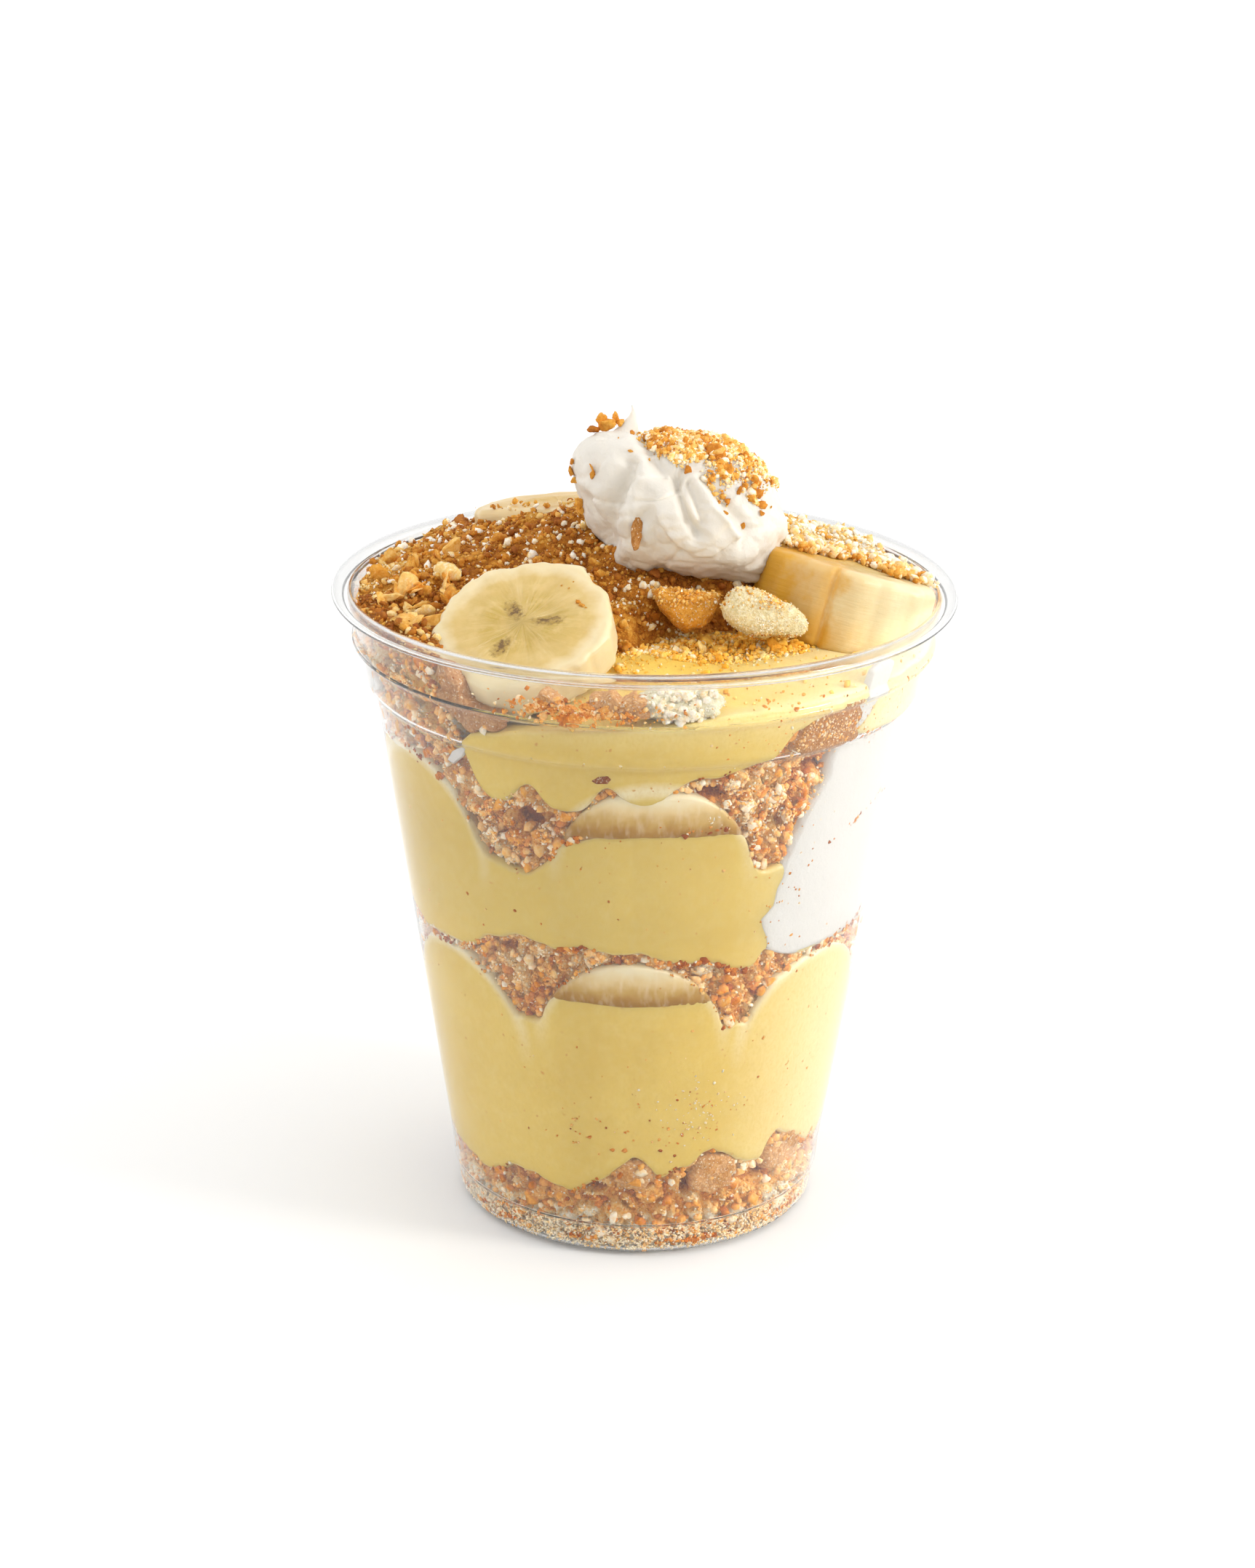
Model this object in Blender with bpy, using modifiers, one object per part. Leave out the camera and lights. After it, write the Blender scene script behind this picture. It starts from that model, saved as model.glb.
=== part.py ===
"""Banana pudding built up in layers inside its clear plastic cup.

Lengths are written in millimetres and turned into metres where a mesh is made.
The cup stands on z = 0 with its axis on the z axis. An angle round the cup is
in degrees, 0 at the front (-y) and positive towards the right (+x).
"""
import math
import random

import bmesh
import bpy
from mathutils import Matrix, Vector, noise

MM = 0.001
GAP = 0.3
SEED = 41

# Cup
SIDES = 36
WALL = 0.5
RIM_HEIGHT = 103.5
BEAD_RADIUS = 47.4
BEAD_HALF_WIDTH = 1.6
BEAD_HALF_HEIGHT = 1.1
BEAD_LEVEL = RIM_HEIGHT - BEAD_HALF_HEIGHT
BEAD_ARC = 150
BEAD_STEP = 50
FOOT_RADIUS = 28.4
RECESS_RADIUS = 23.5
RECESS_DEPTH = 1.3
RECESS_SLOPE = 1.2
FLOOR = 0.6
CONE_TOP = (42.4, 87.3)
CONE_FOOT = (30.4, 9.6)
OUTER_WALL = [
    (45.8, 100.8), (45.2, 95.9), (45.9, 94.9), (44.5, 94.0), (43.6, 88.1),
    CONE_TOP, CONE_FOOT, (30.1, 5.6), (29.7, 5.3), (29.2, 1.0),
]

# Heights where one layer meets the next, at the wall, from -90 to 90 degrees
BASE_EDGE = [
    (-90, 12.0), (-60, 10.5), (-38, 13.0), (-17, 11.0), (-2, 18.0), (8, 14.5), (22, 19.0),
    (36, 15.0), (47, 19.0), (60, 14.0), (90, 12.0),
]
MIDDLE_TOP_EDGE = [
    (-90, 54.0), (-55, 52.2), (-42, 53.0), (-30, 56.5), (0, 55.8), (15, 54.2), (25, 52.2),
    (32, 54.5), (45, 52.8), (60, 52.6), (90, 54.0),
]
UPPER_EDGE = [(-90, 76.0), (-58, 79.0), (-29, 75.0), (2, 77.6), (28, 76.0), (60, 82.0), (90, 78.0)]
TOP_EDGE = [
    (-90, 86.0), (-60, 83.6), (-44, 84.5), (-34, 91.0), (-18, 93.0), (4, 94.2), (20, 95.6),
    (50, 97.0), (90, 96.0),
]
BASE_LEVEL = 14.0
MIDDLE_BOTTOM_LEVEL = 49.0
MIDDLE_TOP_LEVEL = 54.0
UPPER_LEVEL = 78.0
TOP_LEVEL = 97.8
VALLEY_LEVEL = 41.0
SLICE_SHOWS_ABOVE = 1.2
LAYER_RINGS = (0.8, 1.0)
SETTLE_FROM = 0.45
SETTLE_TO = 0.9

# Banana slices standing against the wall: angle, height of the centre
LOW_SLICES = {
    "slice_low_front": (-1.5, 39.0), "slice_low_left": (-54.7, 36.2),
    "slice_low_right": (51.5, 36.8), "slice_low_back": (181.5, 39.0),
    "slice_low_back_left": (-125.3, 36.2), "slice_low_back_right": (128.5, 36.8),
}
UP_SLICES = {
    "slice_up_front": (3.0, 68.6), "slice_up_left": (-59.4, 67.5),
    "slice_up_back_left": (-120.6, 67.5), "slice_up_back": (177.5, 68.6),
    "slice_up_back_right": (122.0, 67.8),
}
LOW_SLICE_RADIUS = 14.4
UP_SLICE_RADIUS = 15.0
SLICE_THICKNESS = 7.5
SLICE_SIDES = 12
SLICE_LEAN = 0.25
LOW_CONTACT = 8.0
UP_CONTACT = 7.0
UP_COVER = 12.0
PIECE_RING = 0.58
PIECE_WAVE = 0.6

# Small wafers at the wall: angle, height, half width, half height, depth
WALL_WAFERS = {
    "wafer_base_front": (0.0, 14.8, 3.6, 3.0, 4.0),
    "wafer_base_right": (24.0, 14.0, 4.4, 4.0, 5.0),
    "wafer_base_side": (51.0, 14.4, 5.2, 4.0, 5.0),
    "wafer_wall": (40.0, 91.0, 7.2, 4.6, 4.0),
}
WAFER_RAGGED = 0.3

# Whipped cream at the wall: the same, then lean and raggedness
CREAM_SIDE = (62.0, 70.8, 24.0, 17.2, 11.0)
CREAM_LEAN = 0.28
CREAM_RAGGED = 0.12
CREAM_SIDES = 20

# Crumb pockets of the upper crumb layer: angle, half width in degrees, lowest, highest
POCKETS = [
    (-29.0, 13.0, 68.0, 81.0), (27.0, 15.0, 68.5, 85.0), (-90.0, 12.0, 68.0, 80.0),
    (-151.0, 10.0, 69.0, 81.0), (150.0, 11.0, 69.0, 82.0),
]
POCKET_INSIDE = 0.74
POCKET_OPEN = 0.85
POCKET_SHUT = 1.3
POCKET_ROUND = 0.75
UPPER_THICKNESS = 5.0
UPPER_RINGS = (0.5, 0.8, 1.0)

# Banana on top: centre, axis, radii from left to right and deep, thickness, rounding
TOP_SLICES = {
    "banana_slice_top": ((-17.6, -23.6, 101.2), (-0.17, -0.43, 0.89), (13.7, 13.5), 6.6, 1.0),
    "banana_chunk_right": ((30.5, -4.0, 101.0), (0.25, 0.17, 0.95), (13.6, 11.5), 12.8, 1.4),
    "banana_chunk_back": ((-13.6, 24.6, 103.0), (-0.10, 0.16, 0.98), (13.8, 13.0), 12.4, 1.4),
}
TOP_SIDES = 18
ANGULAR = 0.03

# Wafers on top: material, centre, half sizes, turns about x, y and z
TOP_WAFERS = {
    "wafer_brown": ("wafer", (6.4, -13.6, 102.8), (5.2, 3.6, 3.7), (20.0, 8.0, -12.0)),
    "wafer_pale": ("wafer_crumb", (18.6, -18.0, 103.4), (6.6, 2.9, 3.8), (15.0, 14.0, -16.0)),
    "wafer_front": ("wafer_crumb", (5.2, -38.2, 97.4), (4.8, 3.2, 3.0), (0.0, 0.0, 6.0)),
    "wafer_shard_left": ("wafer", (-38.2, -9.0, 101.6), (5.0, 3.6, 1.5), (18.0, -24.0, 60.0)),
}
CHUNK_SQUARENESS = 3.5
CHUNK_WAVE = 0.7
CHUNK_RELIEF = 0.14

# Heap of crumbs: angle and reach of its foot as a share of the way to the wall
HEAP_FOOT = [
    (-180, 0.985), (-36, 0.985), (-24, 0.72), (-8, 0.46), (8, 0.40), (26, 0.50), (45, 0.60),
    (75, 0.80), (100, 0.985), (180, 0.985),
]
HEAP_PEAK = (-8.0, 10.0, 113.8)
HEAP_FOOT_LEVEL = 101.5
HEAP_REACH = 33.0
HEAP_HOLLOW = 1.25
HEAP_ROUNDING = 5.0
HEAP_FRONT_STRETCH = 1.3
HEAP_RIGHT_STRETCH = 0.8
HEAP_MOUND = (27.0, 26.0, 3.0)
HEAP_MOUND_WIDTH = 11.0
HEAP_RINGS = (0.2, 0.4, 0.6, 0.8, 1.0)
HEAP_RELIEF = 0.9
HEAP_WAVE = 4.0
HEAP_MARGIN = 1.5
HEAP_CRUMBS = 22
CRUMB_SIZE = (1.3, 2.6)

# Whipped cream on top: its outline seen from the front, a little from above, as
# angle from the right and reach from the centre, and folds pressed into its front
DOLLOP_CENTRE = (5.0, 1.0, 116.0)
DOLLOP_TILT = 15.5
DOLLOP_OUTLINE = [
    (-17, 17.6), (4, 15.2), (26, 13.0), (50, 11.4), (85, 10.6), (118, 12.4), (146, 17.8),
    (164, 16.8), (184, 15.0), (212, 12.6), (230, 13.6), (263, 11.4), (299, 14.2), (320, 17.6),
    (343, 17.6),
]
DOLLOP_FRONT = 13.4
DOLLOP_BACK = 14.0
DOLLOP_FOLDS = [
    ((-0.15, 0.75), (0.62, -0.42), 0.16, 0.17), ((-0.25, 0.55), (-0.55, -0.75), 0.10, 0.16),
    ((0.05, 0.35), (0.50, 0.00), 0.08, 0.12),
]
DOLLOP_PEAK = (-2.4, 0.5, 130.6)
DOLLOP_PEAK_FOOT = (0.2, 1.5, 122.0)
DOLLOP_PEAK_RADII = (3.6, 0.4)
DOLLOP_SIDES = 24
DOLLOP_RINGS = 16
DOLLOP_CRUMBS = 14
FINE_CRUMB_SIZE = (0.8, 1.5)

COLLECTION = "banana_pudding"
HELPERS = "cutters"

COLOURS = {
    "cup_plastic": ((0.93, 0.95, 0.95), 0.08),
    "custard": ((0.93, 0.76, 0.30), 0.35),
    "cream": ((0.95, 0.93, 0.88), 0.45),
    "banana": ((0.93, 0.84, 0.55), 0.45),
    "crumb": ((0.72, 0.42, 0.17), 0.85),
    "wafer": ((0.74, 0.40, 0.15), 0.75),
    "wafer_crumb": ((0.90, 0.76, 0.48), 0.85),
}


def reset_scene():
    """Remove what the scene holds and make the two collections."""
    for obj in list(bpy.data.objects):
        bpy.data.objects.remove(obj, do_unlink=True)
    for name in (COLLECTION, HELPERS):
        group = bpy.data.collections.new(name)
        bpy.context.scene.collection.children.link(group)


def material(name):
    """Principled material with the colour and roughness of that food."""
    found = bpy.data.materials.get(name)
    if found:
        return found
    colour, roughness = COLOURS[name]
    made = bpy.data.materials.new(name)
    made.use_nodes = True
    shader = made.node_tree.nodes["Principled BSDF"]
    shader.inputs["Base Color"].default_value = (*colour, 1.0)
    shader.inputs["Roughness"].default_value = roughness
    shader.inputs["Metallic"].default_value = 0.0
    return made


def add_object(name, bm, finish, group=COLLECTION):
    """Turn a bmesh in millimetres into a named object in metres."""
    bmesh.ops.scale(bm, vec=(MM, MM, MM), verts=bm.verts)
    mesh = bpy.data.meshes.new(name)
    bm.to_mesh(mesh)
    bm.free()
    obj = bpy.data.objects.new(name, mesh)
    bpy.data.collections[group].objects.link(obj)
    if finish:
        mesh.materials.append(material(finish))
    mesh.shade_smooth()
    mesh.set_sharp_from_angle(angle=math.radians(40))
    if group == HELPERS:
        obj.hide_render = True
        obj.display_type = "WIRE"
    return obj


def smoothstep(low, high, value):
    """Ease from 0 at low to 1 at high."""
    share = min(1.0, max(0.0, (value - low) / (high - low)))
    return share * share * (3.0 - 2.0 * share)


def mix(first, second, share):
    return first + (second - first) * share


def fold(angle):
    """Angle from -180 to 180."""
    return (angle + 180.0) % 360.0 - 180.0


def along(points, value):
    """Height on a smooth line through the points, each an easy slope to the next."""
    if value <= points[0][0]:
        return points[0][1]
    for (start, low), (end, high) in zip(points, points[1:]):
        if value <= end:
            return mix(low, high, smoothstep(start, end, value))
    return points[-1][1]


def mirrored(points, angle):
    """The front line, repeated as in a mirror on the back half."""
    angle = fold(angle)
    if abs(angle) > 90.0:
        angle = math.copysign(180.0 - abs(angle), angle)
    return along(points, angle)


def straight(points, value):
    """Radius at a height on the cup's profile, whose points run downwards."""
    for (upper_radius, top), (lower_radius, low) in zip(points, points[1:]):
        if value >= low:
            share = min(1.0, max(0.0, (value - low) / (top - low)))
            return mix(lower_radius, upper_radius, share)
    return points[-1][0]


def inner_radius(height):
    return straight(OUTER_WALL, height) - WALL


def food_radius(height):
    """Reach of the food: a gap inside the wall, or inside its cone carried on upwards."""
    share = (height - CONE_FOOT[1]) / (CONE_TOP[1] - CONE_FOOT[1])
    cone = mix(CONE_FOOT[0], CONE_TOP[0], share) - WALL
    return min(inner_radius(height), inner_radius(height - GAP), cone) - GAP


def point_at(angle, radius, height):
    turn = math.radians(angle)
    return Vector((radius * math.sin(turn), -radius * math.cos(turn), height))


def ringed_solid(sides, places, split="FIXED"):
    """Sphere whose rings are moved, the first place being its top point.

    Each place is a function from the angle round the ring, in degrees, to a
    point. The last place is the bottom point. Faces are split the same way on
    both sides of a gap: along the shorter diagonal where two layers meet.
    """
    count = len(places) - 1
    bm = bmesh.new()
    bmesh.ops.create_uvsphere(bm, u_segments=sides, v_segments=count, radius=1.0)
    for vert in bm.verts:
        height = min(1.0, max(-1.0, vert.co.z))
        ring = round(math.acos(height) / math.pi * count)
        angle = math.degrees(math.atan2(vert.co.y, vert.co.x)) + 90.0
        vert.co = places[ring](angle)
    bmesh.ops.triangulate(bm, faces=bm.faces, quad_method=split)
    return bm


def rough(position, size, depth):
    """Uneven relief from noise with bumps of the given size."""
    return depth * noise.noise(Vector(position) / size)


def apply_modifiers(obj):
    """Replace the object's mesh by its evaluated one."""
    graph = bpy.context.evaluated_depsgraph_get()
    mesh = bpy.data.meshes.new_from_object(obj.evaluated_get(graph))
    obj.modifiers.clear()
    old = obj.data
    obj.data = mesh
    bpy.data.meshes.remove(old)


def combine(obj, others, operation):
    """Boolean of the object with a collection of others, which are then removed."""
    group = bpy.data.collections.new("operands")
    bpy.context.scene.collection.children.link(group)
    for other in others:
        group.objects.link(other)
    boolean = obj.modifiers.new("combine", "BOOLEAN")
    boolean.operation = operation
    boolean.operand_type = "COLLECTION"
    boolean.collection = group
    boolean.solver = "EXACT"
    apply_modifiers(obj)
    for other in others:
        bpy.data.objects.remove(other, do_unlink=True)
    bpy.data.collections.remove(group)


def cut(obj, makers):
    """Cut room for each neighbour, made a gap larger than it is."""
    cutters = [maker(group=HELPERS, grow=GAP) for maker in makers]
    combine(obj, cutters, "DIFFERENCE")


def tidy(obj):
    """Join faces that lie in one plane, and drop loose scraps that a cut leaves."""
    bm = bmesh.new()
    bm.from_mesh(obj.data)
    bmesh.ops.dissolve_limit(bm, angle_limit=math.radians(1.0), verts=bm.verts, edges=bm.edges)
    bmesh.ops.triangulate(bm, faces=bm.faces)
    left = set(bm.verts)
    bodies = []
    while left:
        stack = [left.pop()]
        body = set(stack)
        while stack:
            for edge in stack.pop().link_edges:
                for vert in edge.verts:
                    if vert in left:
                        left.discard(vert)
                        body.add(vert)
                        stack.append(vert)
        bodies.append(body)
    bodies.sort(key=len)
    for body in bodies[:-1]:
        bmesh.ops.delete(bm, geom=list(body), context="VERTS")
    bm.to_mesh(obj.data)
    bm.free()


# Cup
def make_cup():
    """Turned wall with a rolled bead, two ridges, a stacking ring and a recessed base."""
    floor_top = RECESS_DEPTH + FLOOR
    inner = [(0.0, floor_top), (RECESS_RADIUS - RECESS_SLOPE, floor_top)]
    inner += [(RECESS_RADIUS + RECESS_SLOPE, FLOOR)]
    inner += [(FOOT_RADIUS - WALL, FLOOR)]
    inner += [(radius - WALL, height) for radius, height in reversed(OUTER_WALL)]
    bead = []
    for degrees in range(BEAD_ARC, -BEAD_ARC - 1, -BEAD_STEP):
        turn = math.radians(degrees)
        radius = BEAD_RADIUS + BEAD_HALF_WIDTH * math.cos(turn)
        bead.append((radius, BEAD_LEVEL + BEAD_HALF_HEIGHT * math.sin(turn)))
    foot = [(FOOT_RADIUS, 0.0), (RECESS_RADIUS + RECESS_SLOPE, 0.0), (RECESS_RADIUS, RECESS_DEPTH)]
    profile = inner + bead + OUTER_WALL + foot + [(0.0, RECESS_DEPTH)]
    bm = bmesh.new()
    verts = [bm.verts.new((radius, 0.0, height)) for radius, height in profile]
    for first, second in zip(verts, verts[1:]):
        bm.edges.new((first, second))
    obj = add_object("cup", bm, "cup_plastic")
    screw = obj.modifiers.new("turn", "SCREW")
    screw.steps = SIDES
    screw.render_steps = SIDES
    screw.use_merge_vertices = True
    screw.merge_threshold = 0.00001
    return obj


# Surfaces between the layers, each a height for an angle and a share of the radius
def settle(level, edge, share):
    """Level inside the food, running out to the edge height at the wall."""
    return mix(level, edge, smoothstep(SETTLE_FROM, SETTLE_TO, share))


def base_top(angle, share):
    return settle(BASE_LEVEL, mirrored(BASE_EDGE, angle), share)


def slice_outline(slices, radius, angle):
    """Height of the slices' tops above an angle at the wall."""
    best = 0.0
    for slice_angle, centre in slices.values():
        across = math.radians(fold(angle - slice_angle)) * food_radius(centre)
        if abs(across) < radius:
            best = max(best, centre + math.sqrt(radius * radius - across * across))
    return best


def middle_bottom(angle, share):
    outline = slice_outline(LOW_SLICES, LOW_SLICE_RADIUS, angle) - SLICE_SHOWS_ABOVE
    return settle(MIDDLE_BOTTOM_LEVEL, max(VALLEY_LEVEL, outline), share)


def middle_top(angle, share):
    return settle(MIDDLE_TOP_LEVEL, mirrored(MIDDLE_TOP_EDGE, angle), share)


def upper_between(angle, share):
    return settle(UPPER_LEVEL, mirrored(UPPER_EDGE, angle), share)


def pudding_top(angle, share):
    return settle(TOP_LEVEL, mirrored(TOP_EDGE, angle), share)


def layer(name, finish, bottom, top):
    """Solid between two surfaces, half a gap clear of each, out to the wall."""

    def upper(share):
        def place(angle):
            height = top(angle, share) - GAP / 2
            return point_at(angle, share * food_radius(height), height)
        return place

    def lower(share):
        def place(angle):
            height = bottom(angle, share) + GAP / 2
            return point_at(angle, share * food_radius(height), height)
        return place

    places = [upper(0.0)] + [upper(share) for share in LAYER_RINGS]
    places += [lower(share) for share in reversed(LAYER_RINGS)] + [lower(0.0)]
    return add_object(name, ringed_solid(SIDES, places, "SHORT_EDGE"), finish)


def wall_piece(name, finish, angle, height, half_width, half_height, depth, contact=0.0,
               cover=None, lean=0.0, ragged=0.0, sides=SLICE_SIDES, group=COLLECTION, grow=0.0):
    """Rounded flat piece that follows the wall.

    It leans inwards below the contact height over its centre and above the
    cover height, and its outline is ragged where it is broken.
    """
    radius_here = food_radius(height)

    def place_at(share, inset):
        def place(turn):
            radians = math.radians(turn)
            edge = 1.0
            if ragged:
                place_on_ring = (math.cos(radians), math.sin(radians), height)
                edge += rough(place_on_ring, PIECE_WAVE, ragged)
            across = (half_width * edge + grow) * share * math.sin(radians)
            up = -(half_height * edge + grow) * share * math.cos(radians)
            behind = SLICE_LEAN * max(0.0, contact - up) if contact else 0.0
            if cover is not None:
                behind += 2.0 * SLICE_LEAN * max(0.0, up - cover)
            level = height + up
            turned = angle + lean * up + math.degrees(across / radius_here)
            return point_at(turned, food_radius(level) - inset - behind, level)
        return place

    places = [place_at(0.0, -grow), place_at(PIECE_RING, -grow), place_at(1.0, -grow)]
    places += [place_at(1.0, depth + grow), place_at(0.0, depth + grow)]
    return add_object(name, ringed_solid(sides, places), finish, group)


def low_slice(name, group=COLLECTION, grow=0.0):
    angle, height = LOW_SLICES[name]
    radius = LOW_SLICE_RADIUS
    return wall_piece(name, "banana", angle, height, radius, radius, SLICE_THICKNESS,
                      contact=LOW_CONTACT, group=group, grow=grow)


def up_slice(name, group=COLLECTION, grow=0.0):
    angle, height = UP_SLICES[name]
    radius = UP_SLICE_RADIUS
    return wall_piece(name, "banana", angle, height, radius, radius, SLICE_THICKNESS,
                      contact=UP_CONTACT, cover=UP_COVER, group=group, grow=grow)


def wall_wafer(name, group=COLLECTION, grow=0.0):
    angle, height, half_width, half_height, depth = WALL_WAFERS[name]
    return wall_piece(name, "wafer", angle, height, half_width, half_height, depth,
                      ragged=WAFER_RAGGED, group=group, grow=grow)


def cream_side(group=COLLECTION, grow=0.0):
    """Whipped cream pressed against the wall on the right."""
    angle, height, half_width, half_height, depth = CREAM_SIDE
    return wall_piece("cream_side", "cream", angle, height, half_width, half_height, depth,
                      lean=CREAM_LEAN, ragged=CREAM_RAGGED, sides=CREAM_SIDES,
                      group=group, grow=grow)


def crumb_upper(group=COLLECTION, grow=0.0):
    """Upper crumb layer, inside the slices and out to the wall in the pockets between."""

    def pocket(angle):
        best = (0.0, 0.0, 0.0)
        for centre, half_width, low, high in POCKETS:
            away = abs(fold(angle - centre)) / half_width
            middle = (low + high) / 2
            half = (high - low) / 2 * math.sqrt(max(0.1, 1.0 - POCKET_ROUND * away ** 2))
            openness = 1.0 - smoothstep(POCKET_OPEN, POCKET_SHUT, away)
            best = max(best, (openness, middle - half, middle + half))
        return best

    def surface(share, side):
        def place(angle):
            openness, low, high = pocket(angle)
            reach = mix(POCKET_INSIDE, 1.0, openness) * share
            end = high if side > 0 else low
            middle = upper_between(angle, reach)
            closed = middle + side * UPPER_THICKNESS * (0.5 - 0.4 * share ** 2)
            height = mix(closed, end, openness * smoothstep(0.6, 1.0, share)) + side * grow
            outward = grow if share == 1.0 else 0.0
            return point_at(angle, reach * food_radius(height) + outward, height)
        return place

    places = [surface(0.0, 1)] + [surface(share, 1) for share in UPPER_RINGS]
    places += [surface(share, -1) for share in reversed(UPPER_RINGS)] + [surface(0.0, -1)]
    return add_object("crumb_upper", ringed_solid(SIDES, places), "crumb", group)


# Pieces on top
def disc(name, finish, centre, axis, radii, thickness, rounding, group=COLLECTION, grow=0.0):
    """Thick round slice about an axis, wider from left to right, with rounded edges."""
    up = Vector(axis).normalized()
    back = up.cross(Vector((1.0, 0.0, 0.0))).normalized()
    right = back.cross(up)
    half = thickness / 2 + grow

    def ring(share, height, inset):
        def place(angle):
            radians = math.radians(angle)
            uneven = 1.0 + ANGULAR * math.cos(5.0 * radians)
            across = (radii[0] * uneven + grow - inset) * share * math.sin(radians)
            deep = -(radii[1] * uneven + grow - inset) * share * math.cos(radians)
            return Vector(centre) + right * across + back * deep + up * height
        return place

    places = [ring(0.0, half, 0.0), ring(1.0, half, rounding), ring(1.0, half - rounding, 0.0)]
    places += [ring(1.0, rounding - half, 0.0), ring(1.0, -half, rounding)]
    places += [ring(0.0, -half, 0.0)]
    return add_object(name, ringed_solid(TOP_SIDES, places), finish, group)


def top_slice(name, group=COLLECTION, grow=0.0):
    centre, axis, radii, thickness, rounding = TOP_SLICES[name]
    return disc(name, "banana", centre, axis, radii, thickness, rounding,
                group=group, grow=grow)


def chunk(name, finish, centre, radii, degrees, group=COLLECTION, grow=0.0):
    """Broken chunk: a ball squared off, uneven and turned."""
    bm = bmesh.new()
    bmesh.ops.create_icosphere(bm, subdivisions=2, radius=1.0)
    turn = Matrix.Rotation(math.radians(degrees[2]), 3, "Z")
    turn = turn @ Matrix.Rotation(math.radians(degrees[1]), 3, "Y")
    turn = turn @ Matrix.Rotation(math.radians(degrees[0]), 3, "X")
    for vert in bm.verts:
        direction = vert.co.normalized()
        powers = sum(abs(value) ** CHUNK_SQUARENESS for value in direction)
        squared = powers ** (-1.0 / CHUNK_SQUARENESS)
        squared *= 1.0 + rough(direction + Vector(centre), CHUNK_WAVE, CHUNK_RELIEF)
        scaled = [value * squared * (size + grow) for value, size in zip(direction, radii)]
        vert.co = Vector(centre) + turn @ Vector(scaled)
    return add_object(name, bm, finish, group)


def top_wafer(name, group=COLLECTION, grow=0.0):
    finish, centre, radii, degrees = TOP_WAFERS[name]
    return chunk(name, finish, centre, radii, degrees, group=group, grow=grow)


def fold_depth(across, up):
    """How far the folds press in at a spot on the front, both from -1 to 1."""
    depth = 0.0
    for (start_x, start_y), (end_x, end_y), press, width in DOLLOP_FOLDS:
        run_x = end_x - start_x
        run_y = end_y - start_y
        share = ((across - start_x) * run_x + (up - start_y) * run_y) / (run_x ** 2 + run_y ** 2)
        share = min(1.0, max(0.0, share))
        away = math.hypot(across - start_x - share * run_x, up - start_y - share * run_y)
        depth = max(depth, press * math.exp(-(away / width) ** 2))
    return depth


def dollop_reach(direction):
    """Reach of the cream from its centre: the outline, rounded towards front and back."""
    tilt = math.radians(DOLLOP_TILT)
    up = direction.y * math.sin(tilt) + direction.z * math.cos(tilt)
    deep = direction.y * math.cos(tilt) - direction.z * math.sin(tilt)
    angle = (math.degrees(math.atan2(up, direction.x)) + 17.0) % 360.0 - 17.0
    flat = math.hypot(direction.x, up)
    half_depth = DOLLOP_FRONT if deep < 0.0 else DOLLOP_BACK
    reach = 1.0 / math.hypot(flat / along(DOLLOP_OUTLINE, angle), deep / half_depth)
    if deep < 0.0:
        reach *= 1.0 - fold_depth(direction.x, up) * smoothstep(0.0, 0.4, -deep)
    return reach


def dollop_body(group=COLLECTION, grow=0.0):
    """Spooned whipped cream with folds in its front."""
    bm = bmesh.new()
    bmesh.ops.create_uvsphere(bm, u_segments=DOLLOP_SIDES, v_segments=DOLLOP_RINGS, radius=1.0)
    bmesh.ops.triangulate(bm, faces=bm.faces, quad_method="FIXED")
    for vert in bm.verts:
        direction = vert.co.normalized()
        reach = dollop_reach(direction) + 1.5 * grow
        vert.co = Vector(DOLLOP_CENTRE) + direction * reach
    return add_object("cream_dollop", bm, "cream", group)


def dollop_peak():
    """Thin curl where the spoon let go."""
    foot = Vector(DOLLOP_PEAK_FOOT)
    tip = Vector(DOLLOP_PEAK)
    turn = (tip - foot).to_track_quat("Z", "Y").to_matrix().to_4x4()
    bm = bmesh.new()
    thick, thin = DOLLOP_PEAK_RADII
    bmesh.ops.create_cone(bm, cap_ends=True, segments=8, radius1=thick, radius2=thin,
                          depth=(tip - foot).length)
    bmesh.ops.transform(bm, matrix=Matrix.Translation((foot + tip) / 2) @ turn, verts=bm.verts)
    return add_object("dollop_peak", bm, None, HELPERS)


def crumb(draw, centre, size):
    """One crumb: a small uneven lump with twenty sides."""
    bm = bmesh.new()
    bmesh.ops.create_icosphere(bm, subdivisions=1, radius=1.0)
    stretch = Vector([draw.uniform(0.75, 1.2) for _ in range(3)])
    spin = Matrix.Rotation(draw.uniform(0.0, math.tau), 3, "Z")
    spin = spin @ Matrix.Rotation(draw.uniform(0.0, math.pi), 3, "X")
    for vert in bm.verts:
        reach = size * draw.uniform(0.82, 1.12)
        shaped = Vector([value * part for value, part in zip(vert.co, stretch)])
        vert.co = Vector(centre) + spin @ shaped * reach
    return add_object("crumb", bm, None, HELPERS)


def heap_foot(angle):
    return along(HEAP_FOOT, fold(angle))


def heap_height(x, y):
    """Hollow-sided cone of crumbs, steeper at the front, with a mound at the right back."""
    across = x - HEAP_PEAK[0]
    deep = y - HEAP_PEAK[1]
    across *= HEAP_RIGHT_STRETCH if across > 0.0 else 1.0
    deep *= HEAP_FRONT_STRETCH if deep < 0.0 else 1.0
    away = math.sqrt(across ** 2 + deep ** 2 + HEAP_ROUNDING ** 2) - HEAP_ROUNDING
    rise = max(0.0, 1.0 - away / HEAP_REACH) ** HEAP_HOLLOW
    mound = math.hypot(x - HEAP_MOUND[0], y - HEAP_MOUND[1]) / HEAP_MOUND_WIDTH
    height = mix(HEAP_FOOT_LEVEL, HEAP_PEAK[2], rise)
    return height + HEAP_MOUND[2] * math.exp(-mound ** 2)


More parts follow.
